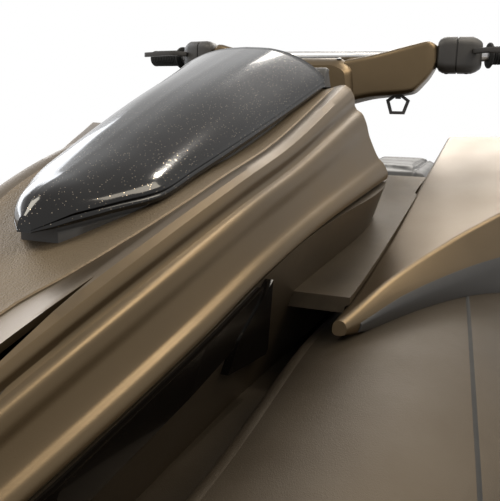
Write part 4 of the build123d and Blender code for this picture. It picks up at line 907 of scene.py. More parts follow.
    def patch(
        self, name: str, skin: BVHTree, rows: Sequence[Sequence[Point]], way: Point, thick: float
    ) -> bpy.types.Object:
        """Lays a thin pad on a surface.

        Args:
            name: The new object's name.
            skin: The surface that carries the pad.
            rows: Rows of points in the air over the surface.
            way: The direction in which the points drop onto it.
            thick: How far the pad stands proud.

        Returns:
            The new mesh object.
        """
        rings = []
        for i, row in enumerate(rows):
            hits = [skin.ray_cast(Vector(point), Vector(way)) for point in row]
            if any(hit[0] is None for hit in hits):
                continue
            last = len(hits) - 1
            shares = [self.pad_edge if k in (0, last) else 1.0 for k in range(last + 1)]
            high = [hit[0] + hit[1] * (thick * share) for hit, share in zip(hits, shares)]
            low = [hit[0] - hit[1] * self.pad_sunk for hit in hits]
            if i in (0, len(rows) - 1):
                high = [hit[0] + hit[1] * thick * self.pad_edge for hit in hits]
            rings.append([tuple(p) for p in high + low[::-1]])
        return self.loft(name, rings)

    def done(
        self, obj: bpy.types.Object, slot: Slot, body: str, *nodes: str, angle: float = 35.0
    ) -> bpy.types.Object:
        """Smooths, dresses and seats a finished piece.

        Args:
            obj: The finished piece.
            slot: The material slot that it takes its finish from.
            body: The body that it rides on.
            nodes: The CAD nodes that it stands for.
            angle: Edges sharper than this many degrees stay crisp.

        Returns:
            The same piece.
        """
        bpy.ops.object.select_all(action="DESELECT")
        obj.select_set(True)
        bpy.context.view_layer.objects.active = obj
        bpy.ops.object.shade_smooth_by_angle(angle=math.radians(angle))
        self.shop.dress(obj, slot)
        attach(obj, body)
        if nodes:
            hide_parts(*nodes)
        log.info("made %s on %s", obj.name, body)
        return obj


@dataclass
class BowHood:
    """The hinged hood: beaded flanks, dished top, slots with louvres, grained panel and hinge knuckle."""

    bench: Bench
    # Rows: y, lower edge x and z, shoulder x and z
    stations: tuple = (
        (-1.640, 0.052, 0.458, 0.038, 0.500),
        (-1.560, 0.084, 0.482, 0.062, 0.552),
        (-1.460, 0.106, 0.511, 0.080, 0.597),
        (-1.310, 0.138, 0.562, 0.107, 0.654),
        (-1.200, 0.156, 0.599, 0.123, 0.690),
        (-1.083, 0.175, 0.631, 0.133, 0.722),
        (-0.862, 0.216, 0.680, 0.151, 0.804),
    )
    # Rows: share of the way up the flank, swell outwards
    flank: tuple = (
        (0.00, -0.0030),
        (0.03, 0.0002),
        (0.09, 0.0012),
        (0.15, 0.0006),
        (0.22, -0.0026),
        (0.27, -0.0030),
        (0.44, -0.0020),
        (0.58, 0.0016),
        (0.655, 0.0022),
        (0.70, 0.0010),
        (0.745, -0.0028),
        (0.785, -0.0032),
        (0.83, -0.0008),
        (0.88, 0.0014),
        (0.955, 0.0010),
    )
    # Rows: shares of the edge radius inwards and of the dish downwards
    shoulder: tuple = ((0.3, 0.0), (0.75, 0.0), (1.2, 0.18), (1.9, 0.5), (2.7, 0.7), (3.6, 0.85))
    edge: float = 0.014
    dish: float = 0.009
    wall: float = 0.0055
    slot_rear: tuple = (0.086, -1.384)
    slot_front: tuple = (0.044, -1.560)
    slot_wide: float = 0.024
    slot_deep: float = 0.007
    # y and z of the hinge's pin
    hinge: tuple = (-1.650, 0.448)
    # Rows: y, half width of the grained panel
    panel: tuple = (
        (-1.620, 0.010),
        (-1.500, 0.026),
        (-1.420, 0.040),
        (-1.384, 0.056),
        (-1.340, 0.072),
        (-1.240, 0.097),
        (-0.870, 0.131),
    )

    def columns(self, y: float) -> list[float]:
        """The hood's four edge values at y."""
        return [eased(self.stations, column, y) for column in range(1, 5)]

    def section(self, y: float) -> list[Flat]:
        """The outer cross section at y, from the port edge over the top to the starboard edge.

        Args:
            y: The station.

        Returns:
            Flat (x, z) points.
        """
        low_x, low_z, top_x, top_z = self.columns(y)
        small = min(1.0, top_x / 0.080)
        run = Vector((top_x - low_x, top_z - low_z))
        out = Vector((run.y, -run.x)).normalized()
        points = []
        for share in spread(0.0, 0.955, 46):
            place = Vector((low_x, low_z)) + run * share + out * eased(self.flank, 1, share) * small
            points.append((place.x, place.y))
        for inwards, down in self.shoulder:
            points.append((top_x - self.edge * small * inwards, top_z - self.dish * small * down))
        points.append((0.0, top_z - self.dish * small))
        return both_sides(points)

    def top_z(self, x: float, y: float) -> float:
        """Height of the dished top.

        Args:
            x: The place across the hood.
            y: The station.

        Returns:
            The height there.
        """
        _, _, top_x, top_z = self.columns(y)
        small = min(1.0, top_x / 0.080)
        rows = [(-top_x + self.edge * small * a, top_z - self.dish * small * d) for a, d in self.shoulder]
        rows.append((0.0, top_z - self.dish * small))
        across = -min(abs(x), top_x - self.edge * small * 0.3)
        for low, high in zip(rows, rows[1:]):
            if across <= high[0]:
                return low[1] + (across - low[0]) / (high[0] - low[0]) * (high[1] - low[1])
        return rows[-1][1]

    def shell(self) -> bpy.types.Object:
        """The hood's moulded shell with its rounded nose, before the slots are cut.

        Returns:
            The shell.
        """
        rings = []
        nose, rear = self.stations[0][0], self.stations[-1][0]
        first = self.section(nose)
        middle = (0.0, sum(z for _, z in first) / len(first))
        for ahead, share in ((0.0088, 0.80), (0.0074, 0.89), (0.0048, 0.955), (0.0020, 0.985)):
            points = [(middle[0] + x * share, middle[1] + (z - middle[1]) * share) for x, z in first]
            rings.append(across_at(nose - ahead, points))
        for y in spread(nose, rear - 0.004, 78):
            rings.append(across_at(y, self.section(y)))
        for back, share in ((0.0012, 0.999), (0.0, 0.994)):
            points = self.section(rear)
            middle_z = sum(z for _, z in points) / len(points)
            drawn = [(x * share, middle_z + (z - middle_z) * share) for x, z in points]
            rings.append(across_at(rear - back, drawn))
        shell = self.bench.loft("bow_hood", rings, closed=False)
        self.bench.modify(shell, "SOLIDIFY", thickness=self.wall, offset=-1.0, use_even_offset=False)
        return shell

    def slot_outline(self, side: int, grow: float) -> list[Flat]:
        """The plan of one slot.

        Args:
            side: 1 for port, -1 for starboard.
            grow: How far the outline stands outside the slot.

        Returns:
            Rounded (x, y) points.
        """
        rear_x, rear_y = self.slot_rear
        front_x, front_y = self.slot_front
        corners = [
            (side * (rear_x + grow), rear_y + 2.5 * grow),
            (side * (front_x + self.slot_wide + grow), front_y - grow),
            (side * (front_x - grow), front_y - grow),
        ]
        return rounded(corners, 0.006, 5)

    def slot_floor(self, y: float) -> float:
        """Height of the slot's floor at y."""
        return self.columns(y)[3] - self.dish - self.slot_deep

    def slots(self, shell: bpy.types.Object) -> None:
        """Cuts both slots, then lines them with louvred trays.

        Args:
            shell: The hood's shell.
        """
        trays, cutters = [], []
        for side in (1, -1):
            plan = self.slot_outline(side, 0.0)
            low = [(x, y, self.slot_floor(y)) for x, y in plan]
            high = [(x, y, 0.9) for x, y in plan]
            cutters.append(self.bench.loft("slot_cutter", [low, high]))
            plan = self.slot_outline(side, 0.0035)
            floor = [(x, y, self.slot_floor(y) - 0.0005) for x, y in plan]
            trays.append(self.bench.plate("slot_tray", floor, (0, 0, -0.002), 0.0))
            for share in spread(0.12, 0.88, 8):
                y = self.slot_front[1] + share * (self.slot_rear[1] - self.slot_front[1])
                outer = self.slot_front[0] + self.slot_wide
                outer += share * (self.slot_rear[0] - outer)
                inner = self.slot_front[0] + share * (self.slot_rear[0] - self.slot_front[0])
                z = self.slot_floor(y)
                fin = [(side * inner, y, z), (side * outer, y, z), (side * outer, y + 0.002, z)]
                fin.append((side * inner, y + 0.002, z))
                trays.append(self.bench.plate("slot_fin", fin, (0, -0.004, 0.0035), 0.0))
        self.bench.cut(shell, self.bench.join("slot_cutters", cutters))
        self.bench.done(self.bench.join("slot_trays", trays), Slot.TRIM, "hood")

    def grained_panel(self) -> None:
        """The thin sand-grained panel that follows the dished top."""
        rings = []
        for y in spread(self.panel[0][0], self.panel[-1][0], 60):
            half = eased(self.panel, 1, y)
            across = spread(half, -half, 25)
            top = [(x, self.top_z(x, y) + 0.0017) for x in across]
            ends = [(half + 0.0012, self.top_z(half, y) + 0.0004)]
            starboard = [(-half - 0.0012, self.top_z(half, y) + 0.0004)]
            under = [(x, self.top_z(x, y) - 0.0006) for x in (-half * 0.9, half * 0.9)]
            rings.append(across_at(y, ends + top + starboard + under))
        panel = self.bench.loft("hood_top_panel", rings)
        self.bench.done(panel, Slot.PANEL, "hood", "hood_panel")

    def knuckle(self) -> None:
        """The hood's half of the hinge, with its leaf and two screws."""
        y, z = self.hinge
        barrel = [(0.0, 0.0062), (0.0, 0.0098), (0.0012, 0.0108)]
        barrel += [(0.0508, 0.0108), (0.052, 0.0098), (0.052, 0.0062)]
        parts = [self.bench.turned("hinge_barrel", (-0.026, y, z), (1, 0, 0), barrel)]
        low, high = (-0.0255, y + 0.002, z + 0.003), (0.0255, -1.612, z + 0.011)
        parts.append(self.bench.block("hinge_leaf", low, high, 0.0015))
        for x in (-0.014, 0.014):
            head = [(0.0, 0.0048), (0.0016, 0.0048), (0.0024, 0.0036), (0.0024, 0.0016), (0.0012, 0.0012)]
            parts.append(self.bench.turned("hinge_screw", (x, -1.628, z + 0.0105), (0, 0, 1), head, 12))
        self.bench.done(self.bench.join("hood_knuckle", parts), Slot.STEEL, "hood")

    def inner_seal(self) -> None:
        """The rubber seal round the hood's lower edge."""
        port = []
        for y in spread(self.stations[0][0] + 0.012, self.stations[-1][0] - 0.012, 60):
            low_x, low_z, _, _ = self.columns(y)
            port.append((low_x - 0.0085, y, low_z - 0.0008))
        starboard = [(-x, y, z) for x, y, z in reversed(port)]
        seal = self.bench.tube("hood_seal", port + starboard, 0.0022, 8, closed=True)
        self.bench.done(seal, Slot.RAIL, "hood")

    def build(self) -> None:
        """Builds and dresses the whole hood."""
        shell = self.shell()
        self.slots(shell)
        self.bench.done(shell, Slot.BRONZE, "hood", "hood", angle=28.0)
        self.grained_panel()
        self.knuckle()
        self.inner_seal()


@dataclass
class Cowl:
    """The gloss dome on the hood with its bright lip, and the matt plinth under it."""

    bench: Bench
    # Rows: y, half width, lip z, crest z
    stations: tuple = (
        (-1.357, 0.007, 0.647, 0.661),
        (-1.340, 0.024, 0.651, 0.679),
        (-1.300, 0.048, 0.660, 0.694),
        (-1.250, 0.071, 0.670, 0.714),
        (-1.200, 0.077, 0.686, 0.736),
        (-1.100, 0.089, 0.718, 0.777),
        (-1.000, 0.101, 0.751, 0.812),
        (-0.868, 0.120, 0.799, 0.856),
    )
    # Rows: step round the arch, share of the half width, share of the dome's height
    arch: tuple = (
        (0, 1.0, 0.0),
        (1, 0.985, 0.11),
        (2, 0.94, 0.24),
        (3, 0.84, 0.44),
        (4, 0.68, 0.67),
        (5, 0.47, 0.87),
        (6, 0.25, 0.97),
        (7, 0.0, 1.0),
    )
    # Rows: distance inwards and height above the lip's lower edge
    lip: tuple = (
        (0.0080, 0.0008),
        (0.0030, 0.0000),
        (0.0008, 0.0008),
        (0.0000, 0.0026),
        (0.0000, 0.0052),
        (0.0008, 0.0068),
        (0.0026, 0.0078),
        (0.0030, 0.0086),
        (0.0018, 0.0096),
    )
    # Rows: distance outside the plinth's wall and height over the lip's lower edge
    foot: tuple = (
        (0.0022, -0.0185),
        (0.0022, -0.0060),
        (0.0006, -0.0042),
        (0.0, -0.0030),
        (0.0, 0.0015),
    )

    def section(self, y: float) -> list[Flat]:
        """The cowl's closed cross section at y.

        Args:
            y: The station.

        Returns:
            Flat (x, z) points.
        """
        half, lip, crest = (eased(self.stations, column, y) for column in range(1, 4))
        small = min(1.0, half / 0.03)
        top = lip + 0.009 * small
        points = [(half - inwards * small, lip + up * small) for inwards, up in self.lip]
        for step in spread(0.3, 7.0, 40):
            points.append((half * eased(self.arch, 1, step), top + (crest - top) * eased(self.arch, 2, step)))
        return both_sides(points)

    def dome(self) -> None:
        """The gloss dome."""
        front, rear = self.stations[0][0], self.stations[-1][0]
        reach = rear - 0.006 - front
        places = [front + 0.0001] + [front + reach * t**1.35 for t in spread(0.004, 1.0, 90)]
        rings = [across_at(y, self.section(y)) for y in places]
        last = self.section(rear)
        middle = sum(z for _, z in last) / len(last)
        for back, share in ((0.0025, 0.997), (0.0008, 0.985), (0.0, 0.965)):
            drawn = [(x * share, middle + (z - middle) * share) for x, z in last]
            rings.append(across_at(rear - back, drawn))
        dome = self.bench.loft("gloss_cowl", rings)
        self.bench.done(dome, Slot.GLOSS, "hood", "hood_cowl", angle=40.0)

    def plinth(self) -> None:
        """The matt base drawn in under the lip, with a stepped foot."""
        rings = []
        for y in spread(-1.338, self.stations[-1][0], 70):
            half, lip = eased(self.stations, 1, y), eased(self.stations, 2, y)
            wide = max(half - 0.009, 0.008)
            points = [(wide + out, lip + up) for out, up in self.foot]
            rings.append(across_at(y, both_sides(points)))
        base = self.bench.loft("cowl_base", rings)
        self.bench.done(base, Slot.TRIM, "hood", "cowl_plinth")

    def build(self) -> None:
        """Builds the dome and its base."""
        self.dome()
        self.plinth()


@dataclass
class MirrorPods:
    """The mirror pods with their rounded edges, recessed rear faces and dark inserts."""

    bench: Bench
    # Rows: y, then x and z of inner top, outer top, outer middle, outer low and inner low
    stations: tuple = (
        (-1.122, 0.205, 0.540, 0.216, 0.541, 0.221, 0.533, 0.218, 0.524, 0.204, 0.524),
        (-1.050, 0.215, 0.560, 0.250, 0.574, 0.266, 0.553, 0.260, 0.512, 0.213, 0.518),
        (-0.940, 0.225, 0.594, 0.312, 0.613, 0.334, 0.574, 0.326, 0.506, 0.223, 0.512),
        (-0.780, 0.240, 0.648, 0.414, 0.668, 0.436, 0.605, 0.424, 0.494, 0.237, 0.506),
        (-0.500, 0.265, 0.741, 0.509, 0.748, 0.534, 0.668, 0.518, 0.470, 0.261, 0.480),
    )
    radii: tuple = (0.010, 0.005, 0.012, 0.012, 0.010)
    # Rows: y, top z and low z of the insert
    insert: tuple = (
        (-1.104, 0.536, 0.525),
        (-1.040, 0.558, 0.517),
        (-0.940, 0.578, 0.515),
        (-0.780, 0.600, 0.510),
        (-0.545, 0.640, 0.506),
    )
    margin: float = 0.019
    recess: float = 0.0185

    def section(self, y: float) -> list[Flat]:
        """The port pod's rounded cross section at y."""
        values = [eased(self.stations, column, y) for column in range(1, 11)]
        return rounded(list(zip(values[0::2], values[1::2])), self.radii, 5)

    def outer_x(self, y: float, z: float) -> float:
        """The outermost x of the pod's cross section.

        Args:
            y: The station.
            z: The height.

        Returns:
            The greatest x there.
        """
        points = self.section(y)
        found = []
        for (x0, z0), (x1, z1) in zip(points, points[1:] + points[:1]):
            if min(z0, z1) <= z <= max(z0, z1) and z0 != z1:
                found.append(x0 + (z - z0) / (z1 - z0) * (x1 - x0))
        return max(found) if found else max(x for x, _ in points)

    def shell(self, side: int) -> bpy.types.Object:
        """One pod with its recessed rear face.

        Args:
            side: 1 for port, -1 for starboard.

        Returns:
            The pod.
        """
        front, rear = self.stations[0][0], self.stations[-1][0]
        rings = []
        for y in [front] + [front + (rear - front) * t**1.2 for t in spread(0.006, 1.0, 46)]:
            rings.append(across_at(y, [(side * x, z) for x, z in self.section(y)]))
        edge = self.section(rear)
        cx, cz = (sum(p[i] for p in edge) / len(edge) for i in (0, 1))
        brim = ((-0.0006, 0.0035), (0.0, self.margin - 0.002), (0.0016, self.margin))
        for back, inset in brim + ((self.recess, self.margin),):
            points = []
            for x, z in edge:
                away = Vector((cx - x, cz - z))
                step = away.normalized() * inset
                points.append((side * (x + step.x), z + step.y))
            rings.append(across_at(rear - back, points))
        return self.bench.loft("mirror_pod", rings)

    def lower_insert(self, side: int) -> bpy.types.Object:
        """The dark insert low on one pod's outer face.

        Args:
            side: 1 for port, -1 for starboard.

        Returns:
            The insert.
        """
        rings = []
        for y in spread(self.insert[0][0], self.insert[-1][0], 40):
            top, low = eased(self.insert, 1, y), eased(self.insert, 2, y)
            heights = spread(top, low, 9)
            proud = [0.0004 if i in (0, 8) else 0.0016 for i in range(len(heights))]
            face = [(self.outer_x(y, z) + out, z) for z, out in zip(heights, proud)]
            back = [(x - 0.006, z) for x, z in reversed(face)]
            rings.append(across_at(y, [(side * x, z) for x, z in face + back]))
        return self.bench.loft("pod_insert", rings)

    def build(self) -> None:
        """Builds both pods and both inserts."""
        pods = self.bench.join("mirror_pod_shells", [self.shell(side) for side in (1, -1)])
        self.bench.done(pods, Slot.BRONZE, "root", "mirror_pods", angle=30.0)
        inserts = self.bench.join("pod_inserts", [self.lower_insert(side) for side in (1, -1)])
        self.bench.done(inserts, Slot.TRIM, "root", "mirror_inserts")


@dataclass
class Controls:
    """The handlebar's padded cover, switch housings, grips and levers, and the display's face."""

    bench: Bench
    # Rows: y, half width, top z of the centre pad
    pad: tuple = (
        (-0.510, 0.078, 0.877),
        (-0.482, 0.086, 0.886),
        (-0.420, 0.086, 0.886),
        (-0.394, 0.079, 0.878),
    )
    pad_low: float = 0.800
    # Rows: x, front y, rear y, low z, top z of an arm
    arm: tuple = (
        (0.062, -0.500, -0.404, 0.800, 0.882),
        (0.112, -0.492, -0.410, 0.812, 0.892),
        (0.189, -0.484, -0.416, 0.822, 0.912),
        (0.215, -0.478, -0.422, 0.846, 0.918),
        (0.231, -0.474, -0.426, 0.866, 0.916),
    )
    # How far the arm narrows on each side towards its top
    taper: float = 0.004
    elbow_x: float = 0.215
    end_x: float = 0.405
    bar_y: float = -0.452
    bar_z: float = 0.893
    sweep: float = 0.062
    rise: float = 0.006
    # Rows: distance from the housing's inner end, growth of its section
    housing: tuple = (
        (0.000, -0.0150),
        (0.0012, -0.0090),
        (0.004, -0.0045),
        (0.010, -0.0012),
        (0.018, 0.0000),
        (0.0345, 0.0000),
        (0.0350, -0.0018),
        (0.0368, -0.0018),
        (0.0373, 0.0000),
        (0.062, 0.0000),
        (0.070, -0.0030),
        (0.077, -0.0075),
        (0.0795, -0.0110),
        (0.080, -0.0150),
    )
    # The housing's eight corners as shares of its half depth and half height
    facets: tuple = (
        (-1.0, -0.7),
        (-0.6, -1.0),
        (0.6, -1.0),
        (1.0, -0.7),
        (1.0, 0.7),
        (0.6, 1.0),
        (-0.6, 1.0),
        (-1.0, 0.7),
    )
    # Rows: distance from the inner end, height on the housing, half width, half height
    buttons: tuple = (
        (0.017, 0.010, 0.0075, 0.006),
        (0.017, -0.010, 0.0075, 0.006),
        (0.051, 0.000, 0.009, 0.011),
    )
    grip_in: float = 0.321
    grip_radius: float = 0.0165
    rib_pitch: float = 0.0052
    # Rows: distance along one rib of the grip, swell over the grip's radius
    rib: tuple = ((0.0, -0.0008), (0.0009, 0.0006), (0.0031, 0.0006), (0.0040, -0.0008))
    # Lever outline from its root on the bar
    lever: tuple = (
        (0.000, -0.031),
        (0.030, -0.052),
        (0.108, -0.030),
        (0.112, -0.018),
        (0.034, -0.036),
        (0.006, -0.021),
    )

    # Corners of the display's wedge, y and z
    wedge: tuple = (
        (-0.790, 0.768),
        (-0.790, 0.784),
        (-0.760, 0.836),
        (-0.748, 0.841),
        (-0.707, 0.784),
        (-0.707, 0.748),
    )

    def bar(self, x: float) -> Vector:
        """Centre of the handlebar tube at x beyond the elbow."""
        share = (x - self.elbow_x) / (self.end_x - self.elbow_x)
        return Vector((x, self.bar_y + share * self.sweep, self.bar_z + share * self.rise))

    def cover(self) -> None:
        """The cover's centre pad and arms, with screws and a gloss cap."""
        rings = []
        front, rear = self.pad[0][0], self.pad[-1][0]
        for i, y in enumerate(spread(front, rear, 26)):
            half, top = eased(self.pad, 1, y), eased(self.pad, 2, y)
            near = min(i, 25 - i)
            draw = (0.007, 0.0035, 0.0015, 0.0005)[near] if near < 4 else 0.0
            corners = [
                (half * 0.8 - draw, self.pad_low + draw),
                (half - draw, self.pad_low + 0.022),
                (half * 0.92 - draw, top - 0.018),
                (half * 0.62 - draw, top - draw),
            ]
            section = both_sides(corners)
            rings.append(across_at(y, rounded(section, 0.009, 4)))
        parts = [self.bench.loft("cover_pad", rings)]
        for side in (1, -1):
            rings = []
            for i, x in enumerate(spread(self.arm[0][0], self.arm[-1][0], 34)):
                y0, y1, z0, z1 = (eased(self.arm, column, x) for column in range(1, 5))
                near = 33 - i
                draw = (0.006, 0.0028, 0.001)[near] if near < 3 else 0.0
                corners = [(y0 + draw, z0 + draw), (y1 - draw, z0 + draw)]
                corners += [(y1 - self.taper - draw, z1 - draw), (y0 + self.taper + draw, z1 - draw)]
                rings.append([(side * x, y, z) for y, z in rounded(corners, 0.011, 5)])
            parts.append(self.bench.loft("cover_arm", rings))
        cover = self.bench.join("handlebar_shroud", parts)
        self.bench.done(cover, Slot.BRONZE, "steering", "handlebar_cover")
        screws = []
        head = [(0.0, 0.0052), (0.0014, 0.0052), (0.0022, 0.0040), (0.0022, 0.0022), (0.0008, 0.0018)]
        for x, y in ((0.050, -0.492), (-0.050, -0.492), (0.050, -0.412), (-0.050, -0.412)):
            top = eased(self.pad, 2, y)
            screws.append(self.bench.turned("cover_screw", (x, y, top - 0.0012), (0, 0, 1), head, 14))
        self.bench.done(self.bench.join("cover_screws", screws), Slot.STEEL, "steering")
        top = self.pad[1][2]
        plan = [(0.040, -0.474), (0.040, -0.428), (-0.040, -0.428), (-0.040, -0.474)]
        cap = [(x, y, top - 0.001) for x, y in rounded(plan, 0.010, 5)]
        plate = self.bench.plate("cover_cap", cap, (0, 0, 0.0026), 0.0009)
        self.bench.done(plate, Slot.GLOSS, "steering")

    def housings(self) -> None:
        """The two-part switch housings with their parting groove and buttons."""
        parts, buttons = [], []
        for side in (1, -1):
            rings = []
            for run, grow in self.housing:
                centre = self.bar(0.231 + run)
                half_y, half_z = 0.029 + grow, 0.033 + grow
                facets = [(half_y * across, half_z * up) for across, up in self.facets]
                section = rounded(facets, 0.007, 3)
                rings.append([(side * centre.x, centre.y + y, centre.z + z) for y, z in section])
            parts.append(self.bench.loft("housing_shell", rings))
            for run, z, wide, tall in self.buttons:
                centre = self.bar(0.231 + run)
                x = side * centre.x
                low = (x - wide, centre.y + 0.027, centre.z + z - tall)
                high = (x + wide, centre.y + 0.0325, centre.z + z + tall)
                buttons.append(self.bench.block("switch_button", low, high, 0.0018))
            for run in (0.018, 0.054):
                centre = self.bar(0.231 + run)
                head = [(0.0, 0.0038), (0.0012, 0.0038), (0.0018, 0.0028), (0.0018, 0.0015), (0.0006, 0.0012)]
                start = (side * centre.x, centre.y, centre.z - 0.0325)
                buttons.append(self.bench.turned("housing_screw", start, (0, 0, -1), head, 12))
        shells = self.bench.join("switch_housing_shells", parts)
        self.bench.done(shells, Slot.TRIM, "steering", "switch_housings")
        self.bench.done(self.bench.join("switch_buttons", buttons), Slot.GRIP, "steering")

    def grips(self) -> None:
        """The ribbed rubber grips with their flanges and end caps."""
        parts = []
        for side in (1, -1):
            start = self.bar(self.grip_in)
            way = self.bar(self.end_x + 0.004) - start
            profile = [(0.0, 0.012), (0.0, 0.0225), (0.0012, 0.0238)]
            profile += [(0.0045, 0.0238), (0.006, 0.0220), (0.0075, self.grip_radius)]
            ribs = int((way.length - 0.016) / self.rib_pitch)
            for i in range(ribs):
                for run, swell in self.rib:
                    profile.append((0.0085 + i * self.rib_pitch + run, self.grip_radius + swell))
            end = way.length
            cap_radius = self.grip_radius + 0.0008
            profile += [(end - 0.0062, cap_radius), (end - 0.0020, cap_radius)]
            profile += [(end - 0.0004, self.grip_radius - 0.0012), (end, 0.0120), (end, 0.0040)]
            place = (side * start.x, start.y, start.z)
            parts.append(self.bench.turned("grip", place, (side * way.x, way.y, way.z), profile, 28))
        self.bench.done(self.bench.join("ribbed_grips", parts), Slot.GRIP, "steering", "grips")

    def levers(self) -> None:
        """The two finger levers with rounded edges."""
        parts = []
        for side in (1, -1):
            root = self.bar(0.293)
            flat = rounded([(root.x + dx, root.y + dy) for dx, dy in self.lever], 0.006, 4)
            outline = [(side * x, y, root.z + 0.0002) for x, y in flat]
            parts.append(self.bench.plate("lever", outline, (0, 0, 0.0088), 0.0028, 3))
        self.bench.done(self.bench.join("finger_levers", parts), Slot.TRIM, "steering", "levers")

    def display_face(self) -> None:
        """The display's wedge-shaped housing, its glass towards the rider and a row of keys."""
        profile = rounded(self.wedge, (0.003, 0.010, 0.010, 0.006, 0.006, 0.003), 4)
        ends = ((-0.094, 0.004), (-0.0925, 0.0012), (-0.089, 0.0))
        rings = []
        for x, draw in ends + tuple((-x, draw) for x, draw in reversed(ends)):
            ring = []
            for y, z in profile:
                ahead = draw if y < -0.748 else -draw
                down = draw if z > 0.8 else -draw
                ring.append((x, y + ahead, z - down))
            rings.append(ring)
        housing = self.bench.loft("display_housing", rings)
        self.bench.done(housing, Slot.TRIM, "root", "display")
        along = Vector((0, 0.041, -0.057)).normalized()
        out = Vector((0, 0.057, 0.041)).normalized()
        top = Vector((0, -0.748, 0.841)) + along * 0.006

        def on_face(x: float, run: float, lift: float) -> Point:
            """A point on the display's glass side."""
            return tuple(top + Vector((x, 0, 0)) + along * run + out * lift)

        glass = rounded([(-0.080, 0.002), (0.080, 0.002), (0.080, 0.042), (-0.080, 0.042)], 0.006, 5)
        outline = [on_face(x, run, -0.0010) for x, run in glass]
        pane = self.bench.plate("display_pane", outline, tuple(out * 0.0018), 0.0006)
        self.bench.done(pane, Slot.DISPLAY, "root")
        keys = []
        for x in spread(-0.064, 0.064, 5):
            plan = [(x - 0.011, 0.046), (x + 0.011, 0.046), (x + 0.011, 0.056), (x - 0.011, 0.056)]
            outline = [on_face(across, run, -0.0012) for across, run in rounded(plan, 0.003, 4)]
            keys.append(self.bench.plate("display_key", outline, tuple(out * 0.0030), 0.0008))
        self.bench.done(self.bench.join("display_keys", keys), Slot.GRIP, "root")

    def build(self) -> None:
        """Builds the handlebar's dressed pieces and the display's face."""
        self.cover()
        self.housings()
        self.grips()
        self.levers()
        self.display_face()


@dataclass
class SeatShape:
    """One seat's sizes: its stations, channels and body."""

    name: str
    node: str
    body: str
    # Rows: y, half width low, half width at the shoulder, top z
    stations: tuple
    # Places along y of the sewn cross channels
    channels: tuple
    # How far from the middle the long seams run at front and rear
    seam_x: tuple


